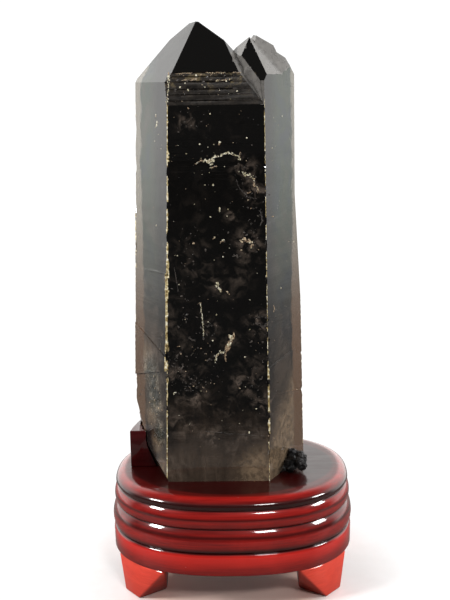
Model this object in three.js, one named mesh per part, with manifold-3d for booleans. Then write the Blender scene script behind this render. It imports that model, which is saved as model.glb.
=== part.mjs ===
// A morion quartz crystal on its lacquered wooden stand, in millimetres, with +Z up.
// The crystal is one grown piece: a large point with a second, lower point beside it.
// It rests with its broken base on the flat top of an oval stand, against a low back rest.
// The origin is on the floor, under the middle of the whole object.

import * as THREE from "three";
import { ConvexGeometry } from "three/addons/geometries/ConvexGeometry.js";
import { mergeVertices } from "three/addons/utils/BufferGeometryUtils.js";
import Module from "manifold-3d";

const wasm = await Module();
wasm.setup();

// Stand: heights of its parts above the floor
const FOOT_HEIGHT = 19.5;
const TOP_HEIGHT = 56;
const REST_HEIGHT = 18.5;

// Stand: the flat top is an oval, squarer than an ellipse
const TOP_HALF_WIDTH = 50;
const TOP_HALF_DEPTH = 38.9;
const OVAL_POWER = 2.385;
const OVAL_SEGMENTS = 72;

// Stand: each bead bulges between two grooves; a distance is measured out from the flat top's edge
const RIM = { out: 6.5, height: 52.2 };
const GROOVES = [
  { out: 5.5, height: 50.3 },
  { out: 6.1, height: 41.5 },
  { out: 7.0, height: 30.2 },
];
const BEAD_BULGE = 1.5;
const LOW_BEAD_BULGE = 1.8;
const BEAD_STEPS = 6;
const RIM_STEPS = 5;
const APRON_TOP_OUT = 7.3;
const APRON_BOTTOM_OUT = 8.1;

// Crystal: the angle at which a quartz point's faces rise from the level
const POINT_SLOPE = 51.8;
const CRYSTAL_FRONT = -23;
const CRYSTAL_BACK = 27;
const SHOULDER_HEIGHT = 229.8;
const ROOT_HEIGHT = 205;
const POCKET_GAP = 0.4;

// Small helpers

const radians = THREE.MathUtils.degToRad;

// The same small numbers on every run, for chips and lumps
function makeRandom(seed) {
  let state = seed;
  return (low, high) => {
    state = (state * 1664525 + 1013904223) % 4294967296;
    return low + ((high - low) * state) / 4294967296;
  };
}

function solidFrom(geometry) {
  const bare = geometry.index ? geometry.toNonIndexed() : geometry.clone();
  bare.deleteAttribute("normal");
  bare.deleteAttribute("uv");
  const merged = mergeVertices(bare, 1e-4);
  return new wasm.Manifold(
    new wasm.Mesh({
      numProp: 3,
      vertProperties: new Float32Array(merged.attributes.position.array),
      triVerts: new Uint32Array(merged.index.array),
    }),
  );
}

function geometryFrom(solid) {
  const mesh = solid.getMesh();
  const geometry = new THREE.BufferGeometry();
  geometry.setAttribute("position", new THREE.BufferAttribute(mesh.vertProperties, 3));
  geometry.setIndex(new THREE.BufferAttribute(mesh.triVerts, 1));
  const flat = geometry.toNonIndexed();
  flat.computeVertexNormals();
  return flat;
}

// A flat face of the crystal: the way it looks, seen from above, how steep it is (90 is upright,
// more than 90 overhangs), and one point on it
function face(azimuth, slope, x, y, z) {
  const level = Math.sin(radians(slope));
  const normal = new THREE.Vector3(
    Math.cos(radians(azimuth)) * level,
    Math.sin(radians(azimuth)) * level,
    Math.cos(radians(slope)),
  );
  return { normal, distance: normal.dot(new THREE.Vector3(x, y, z)) };
}

// The solid inside a list of faces: its corners are where three faces meet
function solidInside(faces, grow = 0) {
  const corners = [];
  const isInside = (point) => faces.every((f) => f.normal.dot(point) <= f.distance + grow + 1e-6);
  for (let i = 0; i < faces.length; i += 1) {
    for (let j = i + 1; j < faces.length; j += 1) {
      for (let k = j + 1; k < faces.length; k += 1) {
        const [a, b, c] = [faces[i], faces[j], faces[k]];
        const bc = new THREE.Vector3().crossVectors(b.normal, c.normal);
        const determinant = a.normal.dot(bc);
        if (Math.abs(determinant) < 1e-6) continue;
        const ca = new THREE.Vector3().crossVectors(c.normal, a.normal);
        const ab = new THREE.Vector3().crossVectors(a.normal, b.normal);
        const corner = bc
          .multiplyScalar(a.distance + grow)
          .addScaledVector(ca, b.distance + grow)
          .addScaledVector(ab, c.distance + grow)
          .divideScalar(determinant);
        if (isInside(corner) && !corners.some((other) => other.distanceTo(corner) < 1e-4)) {
          corners.push(corner);
        }
      }
    }
  }
  return solidFrom(new ConvexGeometry(corners));
}

// The crystal's column: six upright faces at 120 degrees, a little wider at the foot

const COLUMN = {
  front: face(-90, 90, 0, CRYSTAL_FRONT, TOP_HEIGHT),
  right: face(-30, 89.72, 18.1, CRYSTAL_FRONT, TOP_HEIGHT),
  left: face(210, 88.55, -30.2, CRYSTAL_FRONT, TOP_HEIGHT),
  backLeft: face(150, 88.25, -47.4, 6.8, TOP_HEIGHT),
  backRight: face(30, 90, 31.35, 1.4, SHOULDER_HEIGHT),
  back: face(90, 88.7, 0, CRYSTAL_BACK, TOP_HEIGHT),
};
const base = face(0, 180, 0, 0, TOP_HEIGHT);

// The lower left corner is broken off in two long slanting faces
const brokenFoot = [
  face(193, 99.5, -46.6, 3, 94),
  face(199, 111, -41.3, 3, 63.5),
];

// The large point: three broad faces in front, three behind, and a steep banded face under the first
const largePoint = [
  face(-90, 78.7, 0, CRYSTAL_FRONT, SHOULDER_HEIGHT),
  face(-90, POINT_SLOPE, 0, -20.2, 243.7),
  face(210, POINT_SLOPE, -22.9, -20.2, 243.7),
  face(-30, POINT_SLOPE, 17.1, CRYSTAL_FRONT, SHOULDER_HEIGHT),
  face(30, POINT_SLOPE, 0.7, -9.9, 256.8),
  face(90, POINT_SLOPE, -20.6, 4.5, 262),
  face(150, POINT_SLOPE, -29.3, 7.2, 254),
  face(60, 12, -12, -2, 265.7),
];

// The second point stands out of the large one's right shoulder
const secondPoint = [
  face(-90, POINT_SLOPE, 7.3, -14.4, 250.7),
  face(210, POINT_SLOPE, 9.1, -11.35, 254.5),
  face(-30, POINT_SLOPE, 14.5, -14.25, 250.8),
  face(-142, 95.6, 7.3, -14.4, 250.7),
  face(30, POINT_SLOPE, 25, 2.8, 250),
  face(90, POINT_SLOPE, 12.5, -8.2, 258.9),
  face(150, POINT_SLOPE, 4, -6, 254),
  face(180, 90, -2, 0, SHOULDER_HEIGHT),
  face(0, 180, 0, 0, ROOT_HEIGHT),
];

// Two rough hillocks climb the second point's far shoulder and make its outline step down.
// Their roots stay inside the column and behind its front faces.
const hillockLimits = [
  face(-90, POINT_SLOPE, 7.3, -13.9, 250.7),
  face(-90, 90, 0, -19, SHOULDER_HEIGHT),
  face(0, 180, 0, 0, ROOT_HEIGHT),
];
const shoulderHillocks = [
  [
    face(15, 27, 19.1, -1, 256.4),
    face(0, 66, 22.6, -1, 253.4),
    face(-48, 58, 18, -4.6, 255.4),
    face(208, 55, 13.4, -5, 258.3),
    face(150, 66, 12, 0, 256),
    face(90, 60, 18, 1.5, 256),
  ],
  [
    face(18, 29, 25.6, 0, 250.5),
    face(4, 62, 28.5, 0, 247.2),
    face(-44, 56, 25, -2.4, 249.6),
    face(200, 60, 21, 0, 252),
    face(150, 66, 20, 2, 250),
    face(90, 58, 25, 4, 249),
  ],
];

// A thicker growth layer round the right and back of the lower column
const lowerLayer = [
  COLUMN.front,
  COLUMN.right,
  COLUMN.left,
  COLUMN.backLeft,
  COLUMN.back,
  face(30, 84.6, 31.3, 1.2, 190),
  face(30, 88.45, 34.4, 6, 136),
  base,
  face(0, 0, 0, 0, 195),
];

function columnWith(extra, grow = 0) {
  return solidInside([...Object.values(COLUMN), base, ...extra], grow);
}

// Growth plates: thin raised layers on a column face, each ending in a slanting ledge
const PLATES = [
  { side: "left", raise: 0.5, low: 100, high: 168, ledgeTurn: 200, ledgeSlope: 20 },
  { side: "left", raise: 0.9, low: 96, high: 131, ledgeTurn: 250, ledgeSlope: 24 },
  { side: "backLeft", raise: 0.7, low: 92, high: 190, ledgeTurn: 120, ledgeSlope: 16 },
  { side: "backLeft", raise: 1.3, low: 90, high: 146, ledgeTurn: 170, ledgeSlope: 28 },
  { side: "back", raise: 0.8, low: 76, high: 204, ledgeTurn: 70, ledgeSlope: 12 },
  { side: "back", raise: 1.5, low: 82, high: 118, ledgeTurn: 110, ledgeSlope: 26 },
  { side: "right", raise: 0.4, low: 70, high: 118, ledgeTurn: -60, ledgeSlope: 14 },
];

function growthPlate({ side, raise, low, high, ledgeTurn, ledgeSlope }) {
  const raised = {
    normal: COLUMN[side].normal,
    distance: COLUMN[side].distance + raise,
  };
  const around = { ...COLUMN, [side]: raised };
  return solidInside([
    ...Object.values(around),
    face(ledgeTurn, ledgeSlope, 0, 0, high),
    face(ledgeTurn, 180 - ledgeSlope, 0, 0, low),
  ]);
}

// The line where two column faces meet, as a point at a height
function edgePoint(sideA, sideB, height) {
  const [a, b] = [COLUMN[sideA], COLUMN[sideB]];
  const p = a.distance - a.normal.z * height;
  const q = b.distance - b.normal.z * height;
  const determinant = a.normal.x * b.normal.y - a.normal.y * b.normal.x;
  return new THREE.Vector3(
    (p * b.normal.y - q * a.normal.y) / determinant,
    (q * a.normal.x - p * b.normal.x) / determinant,
    height,
  );
}

// A flake struck off an upright edge: a long, slightly turned, eight-sided bite
function edgeFlake(point, length, depth, turn) {
  const bite = new THREE.OctahedronGeometry(1);
  bite.scale(depth * 1.5, depth * 1.2, length / 2);
  bite.rotateY(radians(turn / 3));
  bite.rotateZ(radians(turn));
  bite.translate(point.x, point.y, point.z);
  return solidFrom(bite);
}

// Flakes down the two front edges, as heights, lengths and depths
const FRONT_LEFT_FLAKES = [
  [238, 7, 0.9],
  [201, 8, 0.6],
  [186, 8, 0.5],
  [172, 11, 0.6],
  [155, 20, 0.8],
  [118, 11, 0.9],
  [107, 8, 0.6],
  [92, 12, 0.5],
];
const FRONT_RIGHT_FLAKES = [
  [203, 4, 0.5],
  [191, 5, 0.5],
  [179, 6, 0.6],
  [168, 7, 0.7],
  [152, 5, 0.5],
  [127, 4, 0.6],
  [116, 5, 0.5],
  [104, 5, 0.6],
  [88, 6, 0.7],
  [78, 6, 0.7],
  [69, 6, 0.6],
];

// The far right edge leans out between two heights, where the lower layer thickens.
// It has bites, one of them deep.
const FAR_RIGHT_EDGE = { high: new THREE.Vector3(31.9, 1.4, 190), low: new THREE.Vector3(35.3, 6.2, 136) };
const FAR_RIGHT_FLAKES = [
  [110, 4, 1.2],
  [91, 6, 2],
  [150, 5, 0.8],
  [128, 4, 0.7],
  [77, 5, 0.8],
];

// Scars along the rest of the upright edges
const SCARRED_EDGES = [
  ["backLeft", "left"],
  ["back", "backLeft"],
  ["backRight", "back"],
];
const SCARS_PER_EDGE = 8;
const SCAR_SPACING = 19;
const LOWEST_SCAR = 80;

function allFlakes() {
  const random = makeRandom(7);
  const flakes = [];
  for (const [height, length, depth] of FRONT_LEFT_FLAKES) {
    const point = edgePoint("front", "left", height);
    flakes.push(edgeFlake(point, length, depth, random(-30, 30)));
  }
  for (const [height, length, depth] of FRONT_RIGHT_FLAKES) {
    const point = edgePoint("front", "right", height);
    flakes.push(edgeFlake(point, length, depth, random(-30, 30)));
  }
  for (const [height, length, depth] of FAR_RIGHT_FLAKES) {
    const { high, low } = FAR_RIGHT_EDGE;
    const down = THREE.MathUtils.clamp((high.z - height) / (high.z - low.z), 0, 1);
    const point = high.clone().lerp(low, down).setZ(height);
    flakes.push(edgeFlake(point, length, depth, random(-30, 30)));
  }
  for (const [sideA, sideB] of SCARRED_EDGES) {
    for (let i = 0; i < SCARS_PER_EDGE; i += 1) {
      const height = LOWEST_SCAR + (i + random(0.1, 0.9)) * SCAR_SPACING;
      const point = edgePoint(sideA, sideB, height);
      flakes.push(edgeFlake(point, random(5, 14), random(0.6, 1.4), random(-40, 40)));
    }
  }
  return flakes;
}

// Level lines cut into the steep band under the large point
const BAND_LINES = [231.6, 234.2, 236.4, 239.6, 241.8, 243.4];
const BAND_LEAN = 0.2;
const BAND_LINE = { length: 38, middle: -7.5, width: 0.5 };

function bandLine(height) {
  const cut = new THREE.BoxGeometry(BAND_LINE.length, BAND_LINE.width, BAND_LINE.width);
  cut.rotateX(radians(45));
  const out = CRYSTAL_FRONT + (height - SHOULDER_HEIGHT) * BAND_LEAN;
  cut.translate(BAND_LINE.middle, out, height);
  return solidFrom(cut);
}

// Shallow pits on the broken lower left: the break runs from its bottom out to its top
const PIT_COUNT = 16;
const BREAK_BOTTOM = { x: -37.6, height: TOP_HEIGHT };
const BREAK_TOP = { x: -46.6, height: 94 };

function brokenPits() {
  const random = makeRandom(19);
  const pits = [];
  for (let i = 0; i < PIT_COUNT; i += 1) {
    const pit = new THREE.IcosahedronGeometry(random(2.2, 4.6), 0);
    pit.scale(1, 1, random(1, 2.4));
    pit.rotateZ(random(0, Math.PI));
    const along = random(0.05, 1);
    const height = THREE.MathUtils.lerp(BREAK_BOTTOM.height, BREAK_TOP.height, along);
    const x = THREE.MathUtils.lerp(BREAK_BOTTOM.x, BREAK_TOP.x, along) - random(1.4, 2.6);
    pit.translate(x, random(-14, 14), height);
    pits.push(solidFrom(pit));
  }
  return pits;
}

// A dark knobbly growth clings to the base's right corner
const KNOB_CENTRE = new THREE.Vector3(30.9, -11.4, 60);
const KNOB_COUNT = 15;

function knobs() {
  const random = makeRandom(31);
  const lumps = [];
  for (let i = 0; i < KNOB_COUNT; i += 1) {
    const size = random(1.7, 3.1);
    const lump = new THREE.IcosahedronGeometry(size, 1);
    lump.rotateX(random(0, Math.PI));
    lump.rotateZ(random(0, Math.PI));
    lump.translate(
      KNOB_CENTRE.x + random(-3.6, 2.8),
      KNOB_CENTRE.y + random(-4, 6),
      Math.max(TOP_HEIGHT + size, KNOB_CENTRE.z + random(-3, 3.4)),
    );
    lumps.push(solidFrom(lump));
  }
  return lumps;
}

// The whole crystal, one solid
function crystalSolid() {
  let crystal = columnWith(largePoint).add(columnWith(secondPoint));
  for (const hillock of shoulderHillocks) {
    crystal = crystal.add(columnWith([...hillock, ...hillockLimits]));
  }
  crystal = crystal.add(solidInside(lowerLayer));
  for (const plate of PLATES) crystal = crystal.add(growthPlate(plate));
  for (const { normal, distance } of brokenFoot) {
    crystal = crystal.trimByPlane(normal.clone().negate().toArray(), -distance);
  }
  for (const cut of [...allFlakes(), ...BAND_LINES.map(bandLine), ...brokenPits()]) {
    crystal = crystal.subtract(cut);
  }
  for (const lump of knobs()) crystal = crystal.add(lump);
  return crystal;
}

// The stand's oval, a distance out from the flat top's edge
function ovalPoint(angle, out) {
  const power = 2 / OVAL_POWER;
  const across = Math.cos(angle);
  const along = Math.sin(angle);
  return new THREE.Vector2(
    (TOP_HALF_WIDTH + out) * Math.sign(across) * Math.abs(across) ** power,
    (TOP_HALF_DEPTH + out) * Math.sign(along) * Math.abs(along) ** power,
  );
}

// A bead's profile between two grooves, from the upper one to the lower one
function beadProfile(upper, lower, bulge) {
  const points = [];
  for (let i = 1; i < BEAD_STEPS; i += 1) {
    const t = i / BEAD_STEPS;
    const swell = bulge * Math.sin(Math.PI * t) ** 0.75;
    points.push([
      THREE.MathUtils.lerp(upper.out, lower.out, t) + swell,
      THREE.MathUtils.lerp(upper.height, lower.height, t),
    ]);
  }
  return points;
}

// The moulding, from the middle of the underside, up its outside, to the middle of the top
function standProfile() {
  const [first, second, third] = GROOVES;
  const profile = [
    [APRON_BOTTOM_OUT, FOOT_HEIGHT],
    [APRON_TOP_OUT, third.height - 1.1],
    [third.out, third.height],
    ...beadProfile(second, third, LOW_BEAD_BULGE).reverse(),
    [second.out, second.height],
    ...beadProfile(first, second, BEAD_BULGE).reverse(),
    [first.out, first.height],
  ];
  for (let i = 0; i <= RIM_STEPS; i += 1) {
    const t = (i / RIM_STEPS) * (Math.PI / 2);
    profile.push([RIM.out * Math.cos(t), THREE.MathUtils.lerp(RIM.height, TOP_HEIGHT, Math.sin(t))]);
  }
  return profile;
}

// The moulding is turned like a bowl, then each ring is moved out to the oval
function standGeometry() {
  const turned = standProfile().map(([out, height]) => new THREE.Vector2(TOP_HALF_WIDTH + out, height));
  const closed = [new THREE.Vector2(0, FOOT_HEIGHT), ...turned, new THREE.Vector2(0, TOP_HEIGHT)];
  const lathe = new THREE.LatheGeometry(closed, OVAL_SEGMENTS);
  lathe.rotateX(Math.PI / 2);
  const places = lathe.attributes.position;
  for (let i = 0; i < places.count; i += 1) {
    const radius = Math.hypot(places.getX(i), places.getY(i));
    if (radius < 1) continue;
    const angle = Math.atan2(places.getY(i), places.getX(i));
    const point = ovalPoint(angle, radius - TOP_HALF_WIDTH);
    places.setXY(i, point.x, point.y);
  }
  return lathe;
}

// The back rest: a low wall along the back of the oval, from the left side to behind the crystal,
// with a pocket that the crystal leans into. It stands in from the oval's edge, most at the left.
const REST_INSETS = [
  { angle: 186, inset: 0.6 },
  { angle: 172, inset: 2.3 },
  { angle: 160, inset: 2.6 },
  { angle: 146, inset: 1.0 },
  { angle: 62, inset: 1.0 },
];
const REST_STEPS = 28;
const REST_FRONT = -4;
const REST_HOLD = 7;
const REST_INNER_X = -20;
const POCKET_TOP = 120;

function restInset(degrees) {
  const i = REST_INSETS.findIndex(({ angle }) => angle <= degrees) || 1;
  const [from, to] = [REST_INSETS[i - 1], REST_INSETS[i]];
  return THREE.MathUtils.mapLinear(degrees, from.angle, to.angle, from.inset, to.inset);
}

function backRestSolid() {
  const outline = new THREE.Shape();
  const [first, last] = [REST_INSETS.at(0), REST_INSETS.at(-1)];
  for (let i = 0; i <= REST_STEPS; i += 1) {
    const degrees = THREE.MathUtils.lerp(first.angle, last.angle, i / REST_STEPS);
    const point = ovalPoint(radians(degrees), -restInset(degrees));
    outline[i === 0 ? "moveTo" : "lineTo"](point.x, Math.max(REST_FRONT, point.y));
  }
  outline.lineTo(outline.currentPoint.x, CRYSTAL_BACK - REST_HOLD);
  outline.lineTo(REST_INNER_X, REST_FRONT);
  const wall = new THREE.ExtrudeGeometry(outline, { depth: REST_HEIGHT, bevelEnabled: false });
  wall.translate(0, 0, TOP_HEIGHT);
  const pocketEnds = [...brokenFoot, face(0, 180, 0, 0, 0), face(0, 0, 0, 0, POCKET_TOP)];
  const pocket = solidInside([...Object.values(COLUMN), ...pocketEnds], POCKET_GAP);
  const layerPocket = solidInside([...lowerLayer, ...pocketEnds].filter((f) => f !== base), POCKET_GAP);
  return solidFrom(wall).subtract(pocket).subtract(layerPocket);
}

// A bracket foot at the front left; the others mirror it
const FOOT_CORNERS = [
  [-54.3, -21, FOOT_HEIGHT],
  [-41.2, -36.8, FOOT_HEIGHT],
  [-31, -42.1, FOOT_HEIGHT],
  [-29.5, -25, FOOT_HEIGHT],
  [-43, -13, FOOT_HEIGHT],
  [-52, -21, 0],
  [-44.5, -30.2, 0],
  [-31.8, -21, 0],
  [-43, -14, 0],
];

function footGeometry(sideways, endways) {
  return new ConvexGeometry(
    FOOT_CORNERS.map(([x, y, z]) => new THREE.Vector3(x * sideways, y * endways, z)),
  );
}

// Materials

const morion = new THREE.MeshStandardMaterial({ color: 0x2a241f, roughness: 0.12, metalness: 0 });
const lacquer = new THREE.MeshStandardMaterial({ color: 0x8c1418, roughness: 0.15, metalness: 0 });
const brightLacquer = new THREE.MeshStandardMaterial({ color: 0xd0402c, roughness: 0.2, metalness: 0 });

function namedMesh(name, geometry, material) {
  const mesh = new THREE.Mesh(geometry, material);
  mesh.name = name;
  return mesh;
}

const specimen = new THREE.Group();
specimen.add(namedMesh("crystal", geometryFrom(crystalSolid()), morion));

const stand = new THREE.Group();
stand.add(namedMesh("stand_base", standGeometry(), lacquer));
stand.add(namedMesh("back_rest", geometryFrom(backRestSolid()), lacquer));
for (const [name, sideways, endways] of [
  ["foot_front_left", 1, 1],
  ["foot_front_right", -1, 1],
  ["foot_back_left", 1, -1],
  ["foot_back_right", -1, -1],
]) {
  stand.add(namedMesh(name, footGeometry(sideways, endways), brightLacquer));
}

const object = new THREE.Group();
object.add(specimen, stand);

export default object;
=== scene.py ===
# %% [markdown]
# # A morion crystal on its lacquered stand
# Morion is quartz that natural radiation has darkened until it looks black. Light still passes where
# it is thin, and there it shows brown. This lesson starts from a measured solid model, keeps its
# sizes, and gives each piece the surface and the light of the real thing.

import math
import random

import bmesh
import bpy
from mathutils import Matrix, Vector, noise


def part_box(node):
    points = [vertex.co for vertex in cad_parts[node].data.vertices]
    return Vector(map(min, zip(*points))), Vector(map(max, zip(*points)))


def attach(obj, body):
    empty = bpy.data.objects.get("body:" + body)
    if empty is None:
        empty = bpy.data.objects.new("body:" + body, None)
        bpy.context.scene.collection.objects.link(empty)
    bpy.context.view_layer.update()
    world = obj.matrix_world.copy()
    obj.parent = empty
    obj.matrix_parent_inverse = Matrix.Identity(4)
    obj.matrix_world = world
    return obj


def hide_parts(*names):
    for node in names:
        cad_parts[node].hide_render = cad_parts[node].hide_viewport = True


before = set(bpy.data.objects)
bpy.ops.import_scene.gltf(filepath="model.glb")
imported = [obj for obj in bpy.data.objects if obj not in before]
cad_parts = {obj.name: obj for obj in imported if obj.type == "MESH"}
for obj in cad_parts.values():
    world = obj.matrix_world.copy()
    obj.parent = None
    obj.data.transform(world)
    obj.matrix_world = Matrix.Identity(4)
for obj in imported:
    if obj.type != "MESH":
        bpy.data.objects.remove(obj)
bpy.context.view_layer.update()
MM = 0.001
print("pieces in the model:", sorted(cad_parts))

# %% [markdown]
# ## Shared helpers
# Every new piece is finished in the same way: its bmesh becomes a mesh object at the origin, with
# its place in its vertices, and it rides with the model. One function does that, so that no piece
# forgets a step. A second function makes a clean bmesh from one of the model's own solids: the
# import leaves loose triangles, so their corners are merged and flat neighbours become one face.

# %% Helpers for pieces
MERGE_DISTANCE = 0.002 * MM
FLAT_ANGLE = math.radians(0.4)


def finish_piece(name, bm, materials, stands_for=(), sharp_angle=None):
    bmesh.ops.recalc_face_normals(bm, faces=bm.faces)
    mesh = bpy.data.meshes.new(name)
    if sharp_angle is not None:
        for face in bm.faces:
            face.smooth = True
        for edge in bm.edges:
            edge.smooth = len(edge.link_faces) == 2 and edge.calc_face_angle() < sharp_angle
    bm.to_mesh(mesh)
    bm.free()
    for material in materials:
        mesh.materials.append(material)
    piece = bpy.data.objects.new(name, mesh)
    bpy.context.scene.collection.objects.link(piece)
    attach(piece, "root")
    if stands_for:
        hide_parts(*stands_for)
    print(name, "has", len(mesh.polygons), "faces")
    return piece


def merged_copy(node):
    bm = bmesh.new()
    bm.from_mesh(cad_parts[node].data)
    bmesh.ops.remove_doubles(bm, verts=bm.verts, dist=MERGE_DISTANCE)
    bmesh.ops.dissolve_limit(bm, angle_limit=FLAT_ANGLE, verts=bm.verts, edges=bm.edges)
    return bm


print("corners are merged within", round(MERGE_DISTANCE / MM, 4), "mm")

# %% [markdown]
# ## The camera
# The camera is level with the crystal's shoulder, less than half a metre away, and looks down by
# about twelve degrees. Its lens gives the same gentle perspective as the photograph. Building it
# first lets every later step be judged in the final picture. Its turn, dip and roll are in radians.

# %% Camera
CAMERA_PLACE = Vector((6.5, -463.9, 240)) * MM
CAMERA_TURN = -0.018
CAMERA_DIP = 0.216
CAMERA_ROLL = 0.017
LENS = 60
SENSOR = 36

ahead = Vector((
    math.sin(CAMERA_TURN) * math.cos(CAMERA_DIP),
    math.cos(CAMERA_TURN) * math.cos(CAMERA_DIP),
    -math.sin(CAMERA_DIP),
))
level_right = Vector((math.cos(CAMERA_TURN), -math.sin(CAMERA_TURN), 0))
level_up = level_right.cross(ahead)
right = level_right * math.cos(CAMERA_ROLL) - level_up * math.sin(CAMERA_ROLL)
up = level_right * math.sin(CAMERA_ROLL) + level_up * math.cos(CAMERA_ROLL)

camera_data = bpy.data.cameras.new("camera")
camera_data.lens = LENS
camera_data.sensor_width = SENSOR
camera = bpy.data.objects.new("camera", camera_data)
camera.matrix_world = Matrix.Translation(CAMERA_PLACE) @ Matrix((right, up, -ahead)).transposed().to_4x4()
bpy.context.scene.collection.objects.link(camera)
bpy.context.scene.camera = camera
print("camera height in mm:", round(CAMERA_PLACE.z / MM))

# %% [markdown]
# ## Node helpers
# A material is a small graph. These helpers add a node, set its values and join sockets in one
# line each, so that the graphs below read like sentences. Effects that several materials share are
# node groups: built once here, then placed in each material with its own values.

# %% Node helpers


def add_node(tree, kind, inputs=None, **settings):
    node = tree.nodes.new(kind)
    for name, value in settings.items():
        setattr(node, name, value)
    for name, value in (inputs or {}).items():
        if isinstance(value, bpy.types.NodeSocket):
            tree.links.new(value, node.inputs[name])
        else:
            node.inputs[name].default_value = value
    return node


def colour_steps(tree, factor, steps):
    ramp = add_node(tree, "ShaderNodeValToRGB", {"Fac": factor})
    elements = ramp.color_ramp.elements
    while len(elements) < len(steps):
        elements.new(0.5)
    for element, (place, colour) in zip(elements, steps):
        element.position = place
        element.color = (*colour, 1)
    return ramp.outputs["Color"]


def mix_colour(tree, factor, first, second, blend="MIX"):
    node = add_node(tree, "ShaderNodeMix", data_type="RGBA", blend_type=blend)
    for index, value in ((0, factor), (6, first), (7, second)):
        if isinstance(value, bpy.types.NodeSocket):
            tree.links.new(value, node.inputs[index])
        elif index == 0:
            node.inputs[index].default_value = value
        else:
            node.inputs[index].default_value = (*value, 1)
    return node.outputs[2]


def arithmetic(tree, operation, first, second=0.0, clamp=False):
    inputs = {0: first, 1: second}
    return add_node(tree, "ShaderNodeMath", inputs, operation=operation, use_clamp=clamp).outputs[0]


def add(tree, first, second):
    return arithmetic(tree, "ADD", first, second)


def subtract(tree, first, second):
    return arithmetic(tree, "SUBTRACT", first, second)


def multiply(tree, first, second):
    return arithmetic(tree, "MULTIPLY", first, second)


def larger(tree, first, second):
    return arithmetic(tree, "MAXIMUM", first, second)


def weighted(tree, first, second, share):
    return add(tree, multiply(tree, first, 1 - share), multiply(tree, second, share))


def smooth_range(tree, value, low, high, to_low=0.0, to_high=1.0):
    inputs = {"Value": value, "From Min": low, "From Max": high, "To Min": to_low, "To Max": to_high}
    return add_node(tree, "ShaderNodeMapRange", inputs, interpolation_type="SMOOTHSTEP").outputs["Result"]


def range_in_mm(tree, value, low, high, to_low=0.0, to_high=1.0):
    return smooth_range(tree, value, low * MM, high * MM, to_low, to_high)


def length_of(tree, vector):
    return add_node(tree, "ShaderNodeVectorMath", {0: vector}, operation="LENGTH").outputs["Value"]


def height_of(tree, vector):
    return add_node(tree, "ShaderNodeSeparateXYZ", {"Vector": vector}).outputs["Z"]


def object_place(tree):
    return add_node(tree, "ShaderNodeTexCoord").outputs["Object"]


def stretched(tree, vector, stretch):
    return add_node(tree, "ShaderNodeMapping", {"Vector": vector, "Scale": stretch}).outputs["Vector"]


def noise_at(tree, vector, scale=1.0, detail=4.0, rough=0.55, warp=0.0):
    inputs = {"Vector": vector, "Scale": scale, "Detail": detail, "Roughness": rough, "Distortion": warp}
    return add_node(tree, "ShaderNodeTexNoise", inputs).outputs["Fac"]


def new_material(name):
    material = bpy.data.materials.new(name)
    material.use_nodes = True
    material.node_tree.nodes.clear()
    tree = material.node_tree
    shader = add_node(tree, "ShaderNodeBsdfPrincipled")
    output = add_node(tree, "ShaderNodeOutputMaterial", {"Surface": shader.outputs["BSDF"]})
    return material, tree, shader, output


def join(tree, source, shader, name):
    tree.links.new(source, shader.inputs[name])


def bump(tree, shader, height, strength, distance):
    inputs = {"Height": height, "Strength": strength, "Distance": distance * MM}
    join(tree, add_node(tree, "ShaderNodeBump", inputs).outputs["Normal"], shader, "Normal")


print("node helpers ready")

# %% [markdown]
# ## Shared effects
# Two effects turn up in several materials. Clouds are soft patches with ragged rims, used for the
# veils inside the quartz, for dust and for thin places in lacquer. Grit is a scatter of small round
# dots, used for pin-head flecks in the quartz and for dust specks on the stand.

# %% Node group: clouds


def new_group(name, inputs, outputs):
    group = bpy.data.node_groups.new(name, "ShaderNodeTree")
    for label, kind, value in inputs:
        socket = group.interface.new_socket(label, in_out="INPUT", socket_type=kind)
        socket.default_value = value
    for label, kind in outputs:
        group.interface.new_socket(label, in_out="OUTPUT", socket_type=kind)
    return group, group.nodes.new("NodeGroupInput"), group.nodes.new("NodeGroupOutput")


clouds, cloud_in, cloud_out = new_group(
    "clouds",
    [
        ("Scale", "NodeSocketFloat", 60.0),
        ("Low", "NodeSocketFloat", 0.45),
        ("High", "NodeSocketFloat", 0.7),
    ],
    [("Mask", "NodeSocketFloat")],
)
broad = noise_at(clouds, object_place(clouds), cloud_in.outputs["Scale"], detail=6.0, rough=0.62, warp=0.6)
mask = smooth_range(clouds, broad, cloud_in.outputs["Low"], cloud_in.outputs["High"])
clouds.links.new(mask, cloud_out.inputs["Mask"])
print("shared effect:", clouds.name)

# %% Node group: grit

grit, grit_in, grit_out = new_group(
    "grit",
    [
        ("Scale", "NodeSocketFloat", 400.0),
        ("Size", "NodeSocketFloat", 0.1),
        ("Share", "NodeSocketFloat", 0.3),
    ],
    [("Mask", "NodeSocketFloat")],
)
cell_inputs = {"Vector": object_place(grit), "Scale": grit_in.outputs["Scale"]}
cells = add_node(grit, "ShaderNodeTexVoronoi", cell_inputs)
dot = arithmetic(grit, "LESS_THAN", cells.outputs["Distance"], grit_in.outputs["Size"])
chance = add_node(grit, "ShaderNodeSeparateColor", {"Color": cells.outputs["Color"]}).outputs["Red"]
kept = arithmetic(grit, "LESS_THAN", chance, grit_in.outputs["Share"])
grit.links.new(multiply(grit, dot, kept), grit_out.inputs["Mask"])
print("shared effect:", grit.name)


def place_group(tree, group, **values):
    node = add_node(tree, "ShaderNodeGroup")
    node.node_tree = group
    for name, value in values.items():
        node.inputs[name].default_value = value
    return node.outputs["Mask"]
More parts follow.
